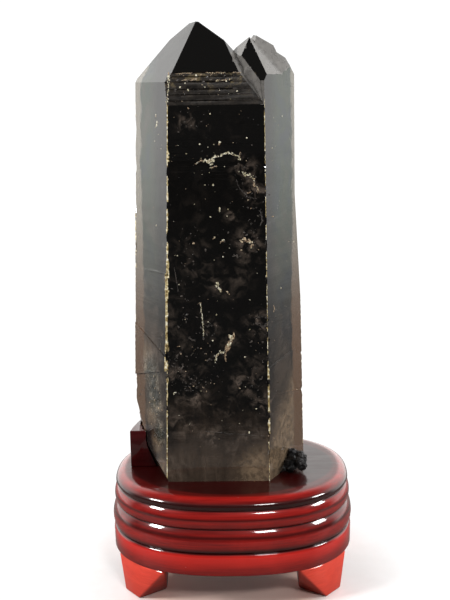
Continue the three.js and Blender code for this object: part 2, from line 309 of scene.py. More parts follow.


# %% [markdown]
# ## Lacquered wood
# The stand is turned and carved from a plain hardwood, stained red and sprayed with clear lacquer.
# The wood's grain, and cloudy patches where the stain wore thin and the red shows lighter, are its own.
# Shade is painted into the colour: on the underside of each bead above its groove and towards the
# foot of the apron, and painted shade with the crystal's dark reflection darkens the flat top. A dark
# streak or two along the beads is a painted reflection of the dark room, and the apron's shoulder is
# painted lighter as the light that falls on it. The lacquer is the Principled shader's coat: a clear
# glossy skin over a duller red, and thinner on the flat top. One function makes all three tones from one
# red: the body's deep red, the back rest's red painted darker as shade and the feet's red painted
# brighter as light. Heights are millimetres above the table.

# %% Lacquer: painted shade and dark reflections
TOP_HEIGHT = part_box("stand_base")[1].z / MM
TOP_HALF_WIDTH, TOP_HALF_DEPTH = 50.0, 38.9
# Painted shade and the crystal's painted dark reflection on the flat top, lighter near its edge.
TOP_SHADE_START, TOP_SHADE_END, TOP_SHADE = 55.6, 56.0, 0.96
TOP_EDGE_START, TOP_EDGE_END, TOP_EDGE_SHADE = 0.955, 1.03, 0.8
# Painted shade on each bead's underside, reaching up from each groove.
GROOVE_HEIGHTS = (50.3, 41.5, 30.2)
SHADE_REACHES = (5.2, 1.6, 3.4)
SHADE_CORES = (2.8, 0.0, 0.6)
GROOVE_SHADE, GROOVE_LIP = 0.95, 0.8
# Painted dark reflections along the beads: height, half width and depth in mm.
BEAD_DARK_REFLECTIONS = ((46.4, 1.3, 0.75), (38.2, 2.0, 0.8), (40.6, 2.4, 0.5))
# Painted shade towards the foot of the apron.
APRON_SHADE_TOP, APRON_SHADE_LOW, APRON_SHADE = 25.0, 16.0, 0.6


# Painted shade on the flat top, on each bead's underside and towards the apron's foot, and painted dark
# reflections along the beads.
def painted_shade_and_reflection(tree, place, height):
    to_unit = (1 / TOP_HALF_WIDTH / MM, 1 / TOP_HALF_DEPTH / MM, 0)
    to_edge = length_of(tree, stretched(tree, place, to_unit))
    near_edge = smooth_range(tree, to_edge, TOP_EDGE_START, TOP_EDGE_END)
    top = range_in_mm(tree, height, TOP_SHADE_START, TOP_SHADE_END, 0.0, TOP_SHADE)
    deepest = multiply(tree, top, smooth_range(tree, near_edge, 0.0, 1.0, 1.0, TOP_EDGE_SHADE))
    for groove, reach, core in zip(GROOVE_HEIGHTS, SHADE_REACHES, SHADE_CORES):
        above = range_in_mm(tree, height, groove + reach, groove + core, 0.0, GROOVE_SHADE)
        below = range_in_mm(tree, height, groove - GROOVE_LIP, groove)
        deepest = larger(tree, multiply(tree, above, below), deepest)
    for middle, half_width, depth in BEAD_DARK_REFLECTIONS:
        away = arithmetic(tree, "ABSOLUTE", subtract(tree, height, middle * MM))
        deepest = larger(tree, range_in_mm(tree, away, half_width, 0.0, 0.0, depth), deepest)
    low_edge = range_in_mm(tree, height, APRON_SHADE_TOP, APRON_SHADE_LOW, 0.0, APRON_SHADE)
    return larger(tree, low_edge, deepest)


# Painted shade darkens the bead undersides just above these grooves.
print("stain gathers in grooves at:", GROOVE_HEIGHTS, "mm")

# %% Lacquer: wood under a clear skin
FIBRE_STRETCH, FIGURE_STRETCH, FIGURE_SHARE = (40, 300, 1400), (14, 60, 160), 0.45
HOLLOW_STEP, CREST_STEP = 0.3, 0.66
WORN_GAIN, WORN_SHARE = 1.5, 0.35
# Painted light on the apron's shoulder: the heights in mm, how much, and how much lighter.
LIT_SHOULDER_LOW, LIT_SHOULDER_TOP, LIT_SHOULDER_SHARE, LIT_SHOULDER_GAIN = 22.0, 28.4, 0.55, 2.4
REST_SHADE_TOP, REST_SHADE_LOW, REST_SHADE, REST_SHADE_GAIN = 82.0, 66.0, 0.7, 0.2
PAINTED_DARK_GAIN = 0.08
DUST_COLOUR, DUST_SHARE = (0.5, 0.4, 0.36), 0.4
TOP_SKIN, SKIN_FADE = 0.55, 0.4
LACQUER_IOR = 1.55


def scaled(colour, gain):
    return [min(1, channel * gain) for channel in colour]


def stained_wood(tree, fibres, place, crest, hollow):
    figure = noise_at(tree, stretched(tree, place, FIGURE_STRETCH), detail=3.0, rough=0.5, warp=0.8)
    stain = weighted(tree, fibres, figure, FIGURE_SHARE)
    colour = colour_steps(tree, stain, [(HOLLOW_STEP, hollow), (CREST_STEP, crest)])
    worn = place_group(tree, clouds, Scale=22.0, Low=0.5, High=0.75)
    return mix_colour(tree, multiply(tree, worn, WORN_SHARE), colour, scaled(crest, WORN_GAIN))


def lacquer(name, crest, hollow, moulded=False, shaded=False):
    material, tree, shader, _ = new_material(name)
    place = object_place(tree)
    height = height_of(tree, place)
    fibres = noise_at(tree, stretched(tree, place, FIBRE_STRETCH), detail=5.0, rough=0.6)
    colour = stained_wood(tree, fibres, place, crest, hollow)
    shader.inputs["Coat Weight"].default_value = 1.0
    if moulded:
        # Painted light: the apron's shoulder is lighter where light falls on it.
        shoulder_painted_light = range_in_mm(tree, height, LIT_SHOULDER_LOW, LIT_SHOULDER_TOP, 0.0, LIT_SHOULDER_SHARE)
        shoulder_painted_light = multiply(tree, shoulder_painted_light, range_in_mm(tree, height, GROOVE_HEIGHTS[2], LIT_SHOULDER_TOP))
        colour = mix_colour(tree, shoulder_painted_light, colour, scaled(crest, LIT_SHOULDER_GAIN))
        # Painted shade and painted dark reflections darken the red.
        painted_dark = painted_shade_and_reflection(tree, place, height)
        colour = mix_colour(tree, painted_dark, colour, scaled(hollow, PAINTED_DARK_GAIN))
        skin = range_in_mm(tree, height, TOP_HEIGHT - SKIN_FADE, TOP_HEIGHT, 1.0, TOP_SKIN)
        join(tree, skin, shader, "Coat Weight")
    # Painted shade: the back rest darkens towards its foot.
    if shaded:
        shade = range_in_mm(tree, height, REST_SHADE_TOP, REST_SHADE_LOW, 0.0, REST_SHADE)
        colour = mix_colour(tree, shade, colour, scaled(hollow, REST_SHADE_GAIN))
    dust = place_group(tree, grit, Scale=330.0, Size=0.045, Share=0.12)
    colour = mix_colour(tree, multiply(tree, dust, DUST_SHARE), colour, DUST_COLOUR)
    join(tree, colour, shader, "Base Color")
    join(tree, smooth_range(tree, fibres, 0.3, 0.7, 0.3, 0.46), shader, "Roughness")
    bump(tree, shader, add(tree, fibres, dust), strength=0.25, distance=0.03)
    shader.inputs["Specular IOR Level"].default_value = 0.1
    shader.inputs["Coat Roughness"].default_value = 0.08
    shader.inputs["Coat IOR"].default_value = LACQUER_IOR
    return material


# One red lacquer in three tones: the back rest's is painted darker as shade, the feet's painted brighter as
# light.
body_lacquer = lacquer("deep_red_lacquer", (0.36, 0.011, 0.007), (0.13, 0.004, 0.004), moulded=True)
rest_lacquer_painted_dark = lacquer("red_lacquer_painted_shade", (0.1, 0.004, 0.006), (0.035, 0.002, 0.002), shaded=True)
foot_lacquer_painted_bright = lacquer("red_lacquer_painted_light", (1.0, 0.085, 0.045), (0.8, 0.05, 0.028))
print("lacquers:", body_lacquer.name, rest_lacquer_painted_dark.name, foot_lacquer_painted_bright.name)

# %% [markdown]
# ## The stand's body
# The body is an oval with a rounded rim, two beads and a plain apron, all turned as one moulding.
# A profile is drawn once and spun round the upright axis, like a bowl on a lathe. The circle is then
# pushed out to the oval, ring by ring, so that every bead keeps the same width all the way round.
# A spin is simpler than lofting and gives clean rings for the light to slide along.

# %% Stand body: profile
OVAL_POWER = 2.385
SPIN_STEPS = 216
RIM_OUT, RIM_HEIGHT = 6.5, 52.2
GROOVE_OUTS = (5.5, 6.1, 7.0)
BEAD_BULGES = (1.5, 1.8)
BEAD_FULLNESS = 0.75
BEAD_STEPS = 12
APRON_OUT = 8.1
APRON_LIP = ((0.7, 0.0), (0.1, 0.4))
SHOULDER_DROP = 2.4
APRON_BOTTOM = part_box("stand_base")[0].z / MM


def stand_profile():
    points = [(APRON_OUT - inward, APRON_BOTTOM + rise) for inward, rise in APRON_LIP]
    for step in range(BEAD_STEPS):
        turn = math.pi / 2 * step / BEAD_STEPS
        out = GROOVE_OUTS[2] + (APRON_OUT - GROOVE_OUTS[2]) * math.cos(turn)
        points.append((out, GROOVE_HEIGHTS[2] - SHOULDER_DROP * (1 - math.sin(turn))))
    for lower, upper, bulge in ((2, 1, BEAD_BULGES[1]), (1, 0, BEAD_BULGES[0])):
        for step in range(BEAD_STEPS + 1):
            share = step / BEAD_STEPS
            out = GROOVE_OUTS[lower] + (GROOVE_OUTS[upper] - GROOVE_OUTS[lower]) * share
            height = GROOVE_HEIGHTS[lower] + (GROOVE_HEIGHTS[upper] - GROOVE_HEIGHTS[lower]) * share
            points.append((out + bulge * math.sin(math.pi * share) ** BEAD_FULLNESS, height))
    for step in range(BEAD_STEPS + 1):
        turn = math.pi / 2 * step / BEAD_STEPS
        height = RIM_HEIGHT + (TOP_HEIGHT - RIM_HEIGHT) * math.sin(turn)
        points.append((RIM_OUT * math.cos(turn), height))
    return points


def oval_place(place, out):
    angle = math.atan2(place.y, place.x)
    power = 2 / OVAL_POWER
    across, along = math.cos(angle), math.sin(angle)
    x = (TOP_HALF_WIDTH + out) * math.copysign(abs(across) ** power, across)
    y = (TOP_HALF_DEPTH + out) * math.copysign(abs(along) ** power, along)
    return Vector((x * MM, y * MM, place.z))


print("points in the profile:", len(stand_profile()))

# %% Stand body: spin and push out to the oval
FULL_TURN = 2 * math.pi
GROOVE_ANGLE = math.radians(40)
INNER_RINGS = (0.9, 0.6, 0.3)
body = bmesh.new()
ring_points = [(TOP_HALF_WIDTH * share, APRON_BOTTOM) for share in reversed(INNER_RINGS)]
ring_points += [(TOP_HALF_WIDTH + out, height) for out, height in stand_profile()]
ring_points += [(TOP_HALF_WIDTH * share, TOP_HEIGHT) for share in INNER_RINGS]
chain = [body.verts.new((radius * MM, 0, height * MM)) for radius, height in ring_points]
links = [body.edges.new(pair) for pair in zip(chain, chain[1:])]
bmesh.ops.spin(
    body,
    geom=chain + links,
    axis=(0, 0, 1),
    cent=(0, 0, 0),
    angle=FULL_TURN,
    steps=SPIN_STEPS,
    use_merge=True,
)
bmesh.ops.holes_fill(body, edges=[edge for edge in body.edges if edge.is_boundary])
for vert in body.verts:
    radius = math.hypot(vert.co.x, vert.co.y) / MM
    if radius > TOP_HALF_WIDTH:
        vert.co = oval_place(vert.co, radius - TOP_HALF_WIDTH)
    else:
        rim = oval_place(vert.co, 0)
        share = radius / TOP_HALF_WIDTH
        vert.co = Vector((rim.x * share, rim.y * share, vert.co.z))
finish_piece("turned_body", body, [body_lacquer], ["stand_base"], GROOVE_ANGLE)

# %% [markdown]
# ## The back rest and the feet
# These are sawn blocks with their edges broken by sandpaper before the lacquer went on. Their shapes
# are right in the model already, so each is copied, its edges are bevelled, and the copy stands for
# the model's node. A small bevel matters more than its size suggests: it gives every edge its own
# thin highlight.

# %% Back rest and feet
REST_BEVEL = 0.7
FOOT_BEVEL = 0.8
SHARP_EDGE = math.radians(25)
CRISP_ANGLE = math.radians(30)


def bevelled_copy(node, width):
    bm = merged_copy(node)
    inner = [edge for edge in bm.edges if len(edge.link_faces) == 2]
    edges = [edge for edge in inner if edge.calc_face_angle() > SHARP_EDGE]
    bmesh.ops.bevel(
        bm,
        geom=edges,
        offset=width * MM,
        offset_type="OFFSET",
        affect="EDGES",
        segments=3,
        profile=0.5,
        material=-1,
        clamp_overlap=True,
    )
    return bm


wall = bevelled_copy("back_rest", REST_BEVEL)
finish_piece("rest_wall", wall, [rest_lacquer_painted_dark], ["back_rest"], CRISP_ANGLE)
for side in ("front_left", "front_right", "back_left", "back_right"):
    node = "foot_" + side
    bracket = bevelled_copy(node, FOOT_BEVEL)
    finish_piece("bracket_" + side, bracket, [foot_lacquer_painted_bright], [node], CRISP_ANGLE)

# %% [markdown]
# ## Dark quartz
# Quartz is clear with an index of refraction of 1.544. Its darkness is inside, so the body colour
# comes from a volume that absorbs light: thin rims stay brown and the thick middle turns black.
# The surface adds what sits on or just under it: faint clouds and veils, tan smears, patches that
# are pitted or a little less polished, and the fine level ribs that quartz grows across its upright
# faces. Pale rims along the outer side edges are painted light, standing for light that passes
# through the thin quartz there. Each mark is a place and a radius in millimetres.

# %% Quartz: the smoke inside and the marks on the faces
QUARTZ_IOR = 1.544
SMOKE_COLOUR = (0.62, 0.38, 0.18, 1)
SMOKE_DENSITY = 330.0
VEIL_SPOTS = [
    (9, -23, 170, 10), (8, -23, 201, 9), (13, -23, 192, 8), (-17, -23, 223, 7), (13, -23, 132, 9),
    (-8, -23, 131, 6), (-16, -23, 97, 10), (16, -23, 93, 9), (2, -23, 182, 6), (-22, -23, 84, 9),
    (-2, -23, 92, 9), (6, -23, 104, 9), (-9, -23, 78, 8), (10, -23, 80, 8), (-24, -23, 108, 7),
    (-36, -12, 112, 13),
]
PITTED_SPOTS = [(-38, -9, 106, 13), (-36, -11, 92, 12), (-33, -16, 78, 9)]
TAN_SMEARS = [
    (30, -6, 80, 22), (24, -15, 66, 20), (28, -10, 72, 16), (34, 0, 96, 14), (12, -23, 62, 14),
    (-37, -8, 84, 9), (-34, -13, 72, 8), (-31, -18, 62, 7), (-39, -4, 112, 12),
]


def smoke(tree, output):
    inside = add_node(tree, "ShaderNodeVolumeAbsorption", {"Color": SMOKE_COLOUR, "Density": SMOKE_DENSITY})
    tree.links.new(inside.outputs["Volume"], output.inputs["Volume"])


def near_spots(tree, place, spots):
    total = 0.0
    for x, y, z, radius in spots:
        spot = {0: place, 1: (x * MM, y * MM, z * MM)}
        away = add_node(tree, "ShaderNodeVectorMath", spot, operation="DISTANCE").outputs["Value"]
        total = arithmetic(tree, "ADD", range_in_mm(tree, away, radius, 0.0), total, clamp=True)
    return total


print("marks on the quartz:", len(VEIL_SPOTS + PITTED_SPOTS + TAN_SMEARS))

# %% Quartz: painted light along the thin side edges
RIM_START, RIM_END, RIM_RAGGED = 4.2, 6.2, 5.0
RIM_SPREAD = 3.6
# Colours of the painted light along the side edges, up high and low down.
HIGH_BACKLIGHT, LOW_BACKLIGHT = (0.78, 0.72, 0.58), (0.42, 0.25, 0.15)


# Painted light: a pale strip along each outer side edge, browner and wider low down, standing for light
# passing through the thin quartz.
def painted_backlight_mask(tree, place, lower_half, rim_pairs):
    ragged = multiply(tree, subtract(tree, noise_at(tree, place, 130.0), 0.5), RIM_RAGGED * MM)
    ragged = subtract(tree, ragged, multiply(tree, lower_half, RIM_SPREAD * MM))
    widest = 0.0
    for pair in rim_pairs:
        share = 1.0
        for normal, distance in pair:
            along = add_node(tree, "ShaderNodeVectorMath", {0: place, 1: normal}, operation="DOT_PRODUCT")
            depth = subtract(tree, distance, along.outputs["Value"])
            rim = range_in_mm(tree, add(tree, depth, ragged), RIM_END, RIM_START)
            share = multiply(tree, rim, share)
        widest = larger(tree, share, widest)
    return widest


print("the rims fade out", RIM_END, "mm deep, and low down", RIM_END + RIM_SPREAD, "mm deep")

# %% Quartz: tones of the front, the sides and the veils
BASE_DRIFT, BASE_TOP, BASE_FULL = 90.0, 100, 56
STREAK_SHARE = 0.65
FRONT_TONE, BASE_DARK, BASE_PALE = (0.014, 0.013, 0.012), (0.13, 0.095, 0.07), (0.27, 0.195, 0.14)
HIGH_SIDE = [(0.38, (0.06, 0.1, 0.115)), (0.5, (0.085, 0.14, 0.08)), (0.62, (0.14, 0.145, 0.1))]
LOW_SIDE = [(0.4, (0.03, 0.032, 0.034)), (0.5, (0.08, 0.065, 0.05)), (0.62, (0.18, 0.135, 0.1))]
VEIL_TOP, VEIL_FULL = 231, 222
HIGH_VEIL, LOW_VEIL = 0.08, 0.7


def front_tone(tree, place, height, mottle):
    drift = subtract(tree, noise_at(tree, place, 48.0, detail=5.0, rough=0.65), 0.5)
    level = add(tree, height, multiply(tree, drift, BASE_DRIFT * MM))
    upright = noise_at(tree, stretched(tree, place, (420, 420, 40)), rough=0.6)
    grain = weighted(tree, mottle, smooth_range(tree, upright, 0.3, 0.7), STREAK_SHARE)
    base = mix_colour(tree, grain, BASE_DARK, BASE_PALE)
    return mix_colour(tree, range_in_mm(tree, level, BASE_TOP, BASE_FULL), FRONT_TONE, base)


def side_tone(tree, place, lower_half):
    blotch = noise_at(tree, place, 34.0, detail=6.0, rough=0.68, warp=0.8)
    high, low = (colour_steps(tree, blotch, steps) for steps in (HIGH_SIDE, LOW_SIDE))
    return mix_colour(tree, lower_half, high, low)


def veil_mask(tree, place, height, lower_half):
    broad = place_group(tree, clouds, Scale=30.0, Low=0.45, High=0.72)
    fine = place_group(tree, clouds, Scale=210.0, Low=0.44, High=0.72)
    veil = multiply(tree, broad, smooth_range(tree, lower_half, 0.0, 1.0, HIGH_VEIL, LOW_VEIL))
    veil = arithmetic(tree, "ADD", veil, near_spots(tree, place, VEIL_SPOTS), clamp=True)
    return multiply(tree, multiply(tree, veil, fine), range_in_mm(tree, height, VEIL_TOP, VEIL_FULL))


print("the front turns brown below", BASE_TOP, "mm, and veils end at", VEIL_TOP, "mm")

# %% Quartz: the whole material
MIDDLE_X = -5.6
SIDE_START, SIDE_FULL = 23.5, 29.5
LOWER_START, LOWER_FULL = 200, 120
VEIL_TONE, VEIL_SHARE = (0.75, 0.58, 0.46), 0.75
SMEAR_TONE, SMEAR_THIN, SMEAR_THICK = (0.85, 0.6, 0.38), 0.35, 0.9
CRUMBS = [(0.42, (0.015, 0.035, 0.015)), (0.52, (0.18, 0.165, 0.1)), (0.61, (1.0, 0.84, 0.6))]
RIB_DEPTH, PIT_DEPTH = 0.12, 1.6


def quartz_colour(tree, place, mottle, pitted, rim_pairs):
    axes = add_node(tree, "ShaderNodeSeparateXYZ", {"Vector": place})
    height = axes.outputs["Z"]
    across = arithmetic(tree, "ABSOLUTE", subtract(tree, axes.outputs["X"], MIDDLE_X * MM))
    on_sides = range_in_mm(tree, across, SIDE_START, SIDE_FULL)
    lower_half = range_in_mm(tree, height, LOWER_START, LOWER_FULL)
    front = front_tone(tree, place, height, mottle)
    tone = mix_colour(tree, on_sides, front, side_tone(tree, place, lower_half))
    veil = multiply(tree, veil_mask(tree, place, height, lower_half), VEIL_SHARE)
    tone = mix_colour(tree, veil, tone, VEIL_TONE)
    smear = smooth_range(tree, mottle, 0.0, 1.0, SMEAR_THIN, SMEAR_THICK)
    smear = multiply(tree, near_spots(tree, place, TAN_SMEARS), smear)
    tone = mix_colour(tree, smear, tone, SMEAR_TONE)
    blots = noise_at(tree, place, 150.0, detail=6.0, rough=0.66, warp=0.5)
    tone = mix_colour(tree, pitted, tone, colour_steps(tree, blots, CRUMBS))
    # Painted light along the side edges lies over every other tone.
    rim = mix_colour(tree, lower_half, HIGH_BACKLIGHT, LOW_BACKLIGHT)
    return mix_colour(tree, painted_backlight_mask(tree, place, lower_half, rim_pairs), tone, rim)


def quartz_material(rim_pairs):
    material, tree, shader, output = new_material("morion_quartz")
    place = object_place(tree)
    mottle = smooth_range(tree, noise_at(tree, place, 380.0, detail=5.0, rough=0.72), 0.38, 0.62)
    pitted = near_spots(tree, place, PITTED_SPOTS)
    join(tree, quartz_colour(tree, place, mottle, pitted, rim_pairs), shader, "Base Color")
    dull = place_group(tree, clouds, Scale=95.0, Low=0.45, High=0.8)
    join(tree, smooth_range(tree, dull, 0.0, 1.0, 0.04, 0.2), shader, "Roughness")
    ribs = noise_at(tree, stretched(tree, place, (30, 30, 900)), detail=3.0, rough=0.5)
    swell = noise_at(tree, place, 55.0, detail=2.0)
    height = add(tree, multiply(tree, ribs, RIB_DEPTH), swell)
    pits = multiply(tree, multiply(tree, mottle, pitted), PIT_DEPTH)
    bump(tree, shader, add(tree, height, pits), strength=0.3, distance=0.5)
    shader.inputs["Transmission Weight"].default_value = 0.75
    shader.inputs["IOR"].default_value = QUARTZ_IOR
    smoke(tree, output)
    return material


print("the quartz has an index of refraction of", QUARTZ_IOR)

# %% [markdown]
# ## Etched band, bruised edges and crust
# Four places are not clear. The steep band under the big point is ribbed and etched, so it looks
# grey-brown and silky. The long edges have been knocked, and crushed quartz looks cream to gold
# because its many tiny cracks throw the light back. The knobs at the foot are a dull dark crust.
# The hollow between the two points and the broken side of the second one are frosted grey.

# %% Materials: band and bruises
BAND_TONES = [(0.38, (0.008, 0.007, 0.006)), (0.52, (0.03, 0.025, 0.021)), (0.68, (0.075, 0.06, 0.045))]
BAND_STAIN, BAND_STAIN_SHARE = (0.34, 0.26, 0.13), 0.4
BAND_STAIN_LOW, BAND_STAIN_FULL = 234, 239
SPECKLE_SHARE = 0.65
CRUSHED_TONES = [(0.36, (0.16, 0.1, 0.035)), (0.5, (0.55, 0.44, 0.2)), (0.64, (0.95, 0.9, 0.74))]


def band_material():
    material, tree, shader, output = new_material("etched_band")
    place = object_place(tree)
    ribs = noise_at(tree, stretched(tree, place, (70, 70, 420)), detail=6.0, rough=0.65, warp=0.4)
    speckle = noise_at(tree, place, 420.0, detail=5.0, rough=0.7)
    mottle = weighted(tree, ribs, speckle, SPECKLE_SHARE)
    upper = range_in_mm(tree, height_of(tree, place), BAND_STAIN_LOW, BAND_STAIN_FULL)
    patches = place_group(tree, clouds, Scale=260.0, Low=0.5, High=0.66)
    stained = multiply(tree, multiply(tree, patches, upper), BAND_STAIN_SHARE)
    tone = mix_colour(tree, stained, colour_steps(tree, mottle, BAND_TONES), BAND_STAIN)
    join(tree, tone, shader, "Base Color")
    join(tree, smooth_range(tree, ribs, 0.3, 0.7, 0.14, 0.3), shader, "Roughness")
    bump(tree, shader, mottle, strength=0.4, distance=0.1)
    shader.inputs["Transmission Weight"].default_value = 0.3
    shader.inputs["IOR"].default_value = QUARTZ_IOR
    smoke(tree, output)
    return material


def bruise_material():
    material, tree, shader, _ = new_material("crushed_quartz")
    crumbs = noise_at(tree, object_place(tree), 900.0, detail=3.0, rough=0.6)
    join(tree, colour_steps(tree, crumbs, CRUSHED_TONES), shader, "Base Color")
    join(tree, smooth_range(tree, crumbs, 0.3, 0.7, 0.25, 0.6), shader, "Roughness")
    bump(tree, shader, crumbs, strength=0.6, distance=0.2)
    shader.inputs["IOR"].default_value = QUARTZ_IOR
    return material


print("the band is stained above", BAND_STAIN_LOW, "mm")

# %% Materials: crust and frost
CRUST_TONES = [(0.35, (0.003, 0.003, 0.003)), (0.7, (0.02, 0.018, 0.018))]
FROST_TONES = [(0.3, (0.17, 0.16, 0.15)), (0.7, (0.26, 0.245, 0.225))]


def crust_material():
    material, tree, shader, _ = new_material("dark_crust")
    lumps = noise_at(tree, object_place(tree), 700.0, detail=4.0, rough=0.65)
    join(tree, colour_steps(tree, lumps, CRUST_TONES), shader, "Base Color")
    join(tree, smooth_range(tree, lumps, 0.3, 0.7, 0.25, 0.6), shader, "Roughness")
    bump(tree, shader, lumps, strength=0.7, distance=0.3)
    shader.inputs["Specular IOR Level"].default_value = 0.3
    return material


def frost_material():
    material, tree, shader, output = new_material("frosted_quartz")
    haze = noise_at(tree, object_place(tree), 260.0, detail=5.0, rough=0.6)
    join(tree, colour_steps(tree, haze, FROST_TONES), shader, "Base Color")
    join(tree, smooth_range(tree, haze, 0.3, 0.7, 0.22, 0.4), shader, "Roughness")
    bump(tree, shader, haze, strength=0.3, distance=0.2)
    shader.inputs["Transmission Weight"].default_value = 0.3
    shader.inputs["IOR"].default_value = QUARTZ_IOR
    smoke(tree, output)
    return material


print("materials ready for the special places")

# %% [markdown]
# ## The crystal: finding its faces
# The model's crystal has the right planes, ledges and bites, but its big faces are perfectly flat
# and its edges perfectly keen. Real faces swell a little and real edges are knocked. To change them
# we need to know which planes are the broad growth faces, so they are read from the solid itself:
# every large flat face gives one plane.

# %% Crystal: broad planes
BROAD_AREA = 250 * MM * MM
SAME_DIRECTION = math.cos(math.radians(2))
SAME_PLANE = 0.3 * MM
SIDE_TURN = 60
UPRIGHT_TILT = 0.12
SIDEWAYS = 0.5


def broad_planes(bm):
    found = []
    for face in sorted(bm.faces, key=lambda f: -f.calc_area()):
        if face.calc_area() < BROAD_AREA:
            break
        distance = face.normal.dot(face.verts[0].co)
        alike = [d for n, d in found if face.normal.dot(n) > SAME_DIRECTION]
        if not any(abs(distance - d) < SAME_PLANE for d in alike):
            found.append((face.normal.copy(), distance))
    return found


def azimuth_of(normal):
    return math.degrees(math.atan2(normal.y, normal.x))


def prism_planes(found):
    sides = {}
    for normal, distance in found:
        side = round(azimuth_of(normal) / SIDE_TURN - 0.5) % 6
        if abs(normal.z) < UPRIGHT_TILT and side not in sides:
            sides[side] = (normal, distance)
    return [sides[side] for side in sorted(sides)]


crystal = merged_copy("crystal")
planes = broad_planes(crystal)
upright_planes = prism_planes(planes)
print("broad faces:", len(planes), "sides of the prism:", [round(azimuth_of(n)) for n, _ in upright_planes])

# %% Crystal: its five materials
left_sides = [plane for plane in upright_planes if plane[0].x < -SIDEWAYS]
right_sides = [plane for plane in upright_planes if plane[0].x > SIDEWAYS]
CRYSTAL_MATERIALS = [
    quartz_material([left_sides, right_sides]),
    band_material(),
    bruise_material(),
    crust_material(),
    frost_material(),
]
QUARTZ, BAND, BRUISE, CRUST, FROST = range(len(CRYSTAL_MATERIALS))
print("materials of the crystal:", [material.name for material in CRYSTAL_MATERIALS])

# %% [markdown]
# ## The crystal: a grid to work on
# Flat polygons have no vertices to move, so the solid is sliced: level cuts every millimetre or so,
# upright cuts every two, and close cuts beside each long edge, where the bruises will be. Slicing
# keeps every corner where it was, which a remesh would not.

# %% Crystal: slices
ROW_STEP = 0.8
COLUMN_STEP = 2.0
EDGE_CUTS = (0.2, 0.45, 0.8)
CUT_TOLERANCE = 0.005 * MM


def slice_mesh(bm, place, direction):
    everything = bm.verts[:] + bm.edges[:] + bm.faces[:]
    bmesh.ops.bisect_plane(bm, geom=everything, plane_co=place, plane_no=direction, dist=CUT_TOLERANCE)


crystal_low, crystal_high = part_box("crystal")
rows = int((crystal_high.z - crystal_low.z) / MM / ROW_STEP)
columns = int((crystal_high.x - crystal_low.x) / MM / COLUMN_STEP)
for row in range(1, rows):
    slice_mesh(crystal, (0, 0, crystal_low.z + row * ROW_STEP * MM), (0, 0, 1))
for column in range(1, columns):
    slice_mesh(crystal, (crystal_low.x + column * COLUMN_STEP * MM, 0, 0), (1, 0, 0))
for normal, distance in upright_planes:
    for cut in EDGE_CUTS:
        slice_mesh(crystal, normal * (distance - cut * MM), normal)
print("crystal grid:", len(crystal.faces), "faces")

# %% [markdown]
# ## The crystal: swelling faces and knocked edges
# A vertex inside a broad face moves in or out by a few hundredths of a millimetre, following smooth
# noise, so that reflections bend as they do on grown faces. A vertex on a long edge is pushed in
# wherever the edge is bruised. The two front edges are set after the real piece: a thin pale
# line down the left one, and separate bright beads down the right one.

# %% Crystal: where the front edges are bruised
LEFT_BRUISES = [
    (243, 4, 1.0), (231, 3, 0.5), (222, 3, 0.4), (208, 5, 0.75), (197, 3, 0.4), (190, 4, 0.55),
    (182, 4, 0.6), (175, 3, 0.7), (167, 4, 0.6), (157, 9, 1.0), (147, 5, 0.8), (136, 4, 0.4),
    (121, 4.5, 0.85), (112, 3, 0.45), (106, 3, 0.6), (98, 4, 0.5), (90, 4, 0.3), (80, 4, 0.2),
    (70, 4, 0.2),
]
RIGHT_BRUISES = [
    (230, 3, 0.4), (205, 3, 0.6), (195, 2, 0.45), (190, 2, 0.4), (182, 2, 0.4), (175, 2, 0.4),
    (168, 2.5, 0.4), (157, 2, 0.45), (154, 3, 0.8), (130, 2, 0.7), (119, 2, 0.4), (110, 1.5, 0.5),
    (107, 2, 0.7), (93, 2, 0.4), (84, 2, 0.9), (80, 1.5, 0.5), (75, 2, 0.8), (64, 1.5, 0.4),
]
FRONT_AZIMUTH = -90
FRONT_EDGES = [
    {"beside": -150, "bruises": LEFT_BRUISES, "thin": 0.26, "share": 0.85},
    {"beside": -30, "bruises": RIGHT_BRUISES, "thin": 0.3, "share": 0.45},
]
print("bruises on the left and right front edges:", len(LEFT_BRUISES), len(RIGHT_BRUISES))

# %% Crystal: how wide a bruise is
AZIMUTH_SLACK = 8
THIN_RAGGED, BRUISE_RAGGED, BACK_RAGGED = 0.15, 0.45, 0.9


def nearest_planes(place):
    gaps = [distance - normal.dot(place) for normal, distance in upright_planes]
    return sorted(zip(gaps, range(len(gaps))))[:2]


def is_pair(first, second, one, other):
    found = {round(azimuth_of(upright_planes[i][0])) for i in (first, second)}
    return all(any(abs(azimuth - side) < AZIMUTH_SLACK for azimuth in found) for side in (one, other))


def bruise_width(first, second, height):
    ragged = noise.noise(Vector((height * 1.3, first * 3.1, second * 5.7)))
    for edge in FRONT_EDGES:
        if is_pair(first, second, FRONT_AZIMUTH, edge["beside"]):
            width = edge["thin"] + THIN_RAGGED * ragged
            for centre, half_length, size in edge["bruises"]:
                fall = abs(height - centre) / (half_length * edge["share"])
                width = max(width, size * (1 - fall * fall) + BRUISE_RAGGED * ragged)
            return max(0.0, width * edge["share"])
    return max(0.0, BACK_RAGGED * ragged)


print("bruises are ragged by up to", BRUISE_RAGGED, "mm")

# %% Crystal: swelling and crust
SWELL = 0.09
SWELL_FADE = 3.0
BROAD_SHARE, LEVEL_SHARE = 0.7, 0.3
KNOB_LOW_X = 24.5
KNOB_HIGH_Z = 68.0
KNOB_BACK = -2.0
LUMP_HEIGHT, LUMP_PITCH = 0.9, 0.9


def smooth_step(value):
    value = max(0.0, min(1.0, value))
    return value * value * (3 - 2 * value)


def swelling(place):
    q = place / MM
    broad = noise.noise(Vector((q.x * 0.05, q.y * 0.05, q.z * 0.035)))
    level = noise.noise(Vector((q.x * 0.03 + 40, q.y * 0.03, q.z * 0.24)))
    return SWELL * (BROAD_SHARE * broad + LEVEL_SHARE * level)


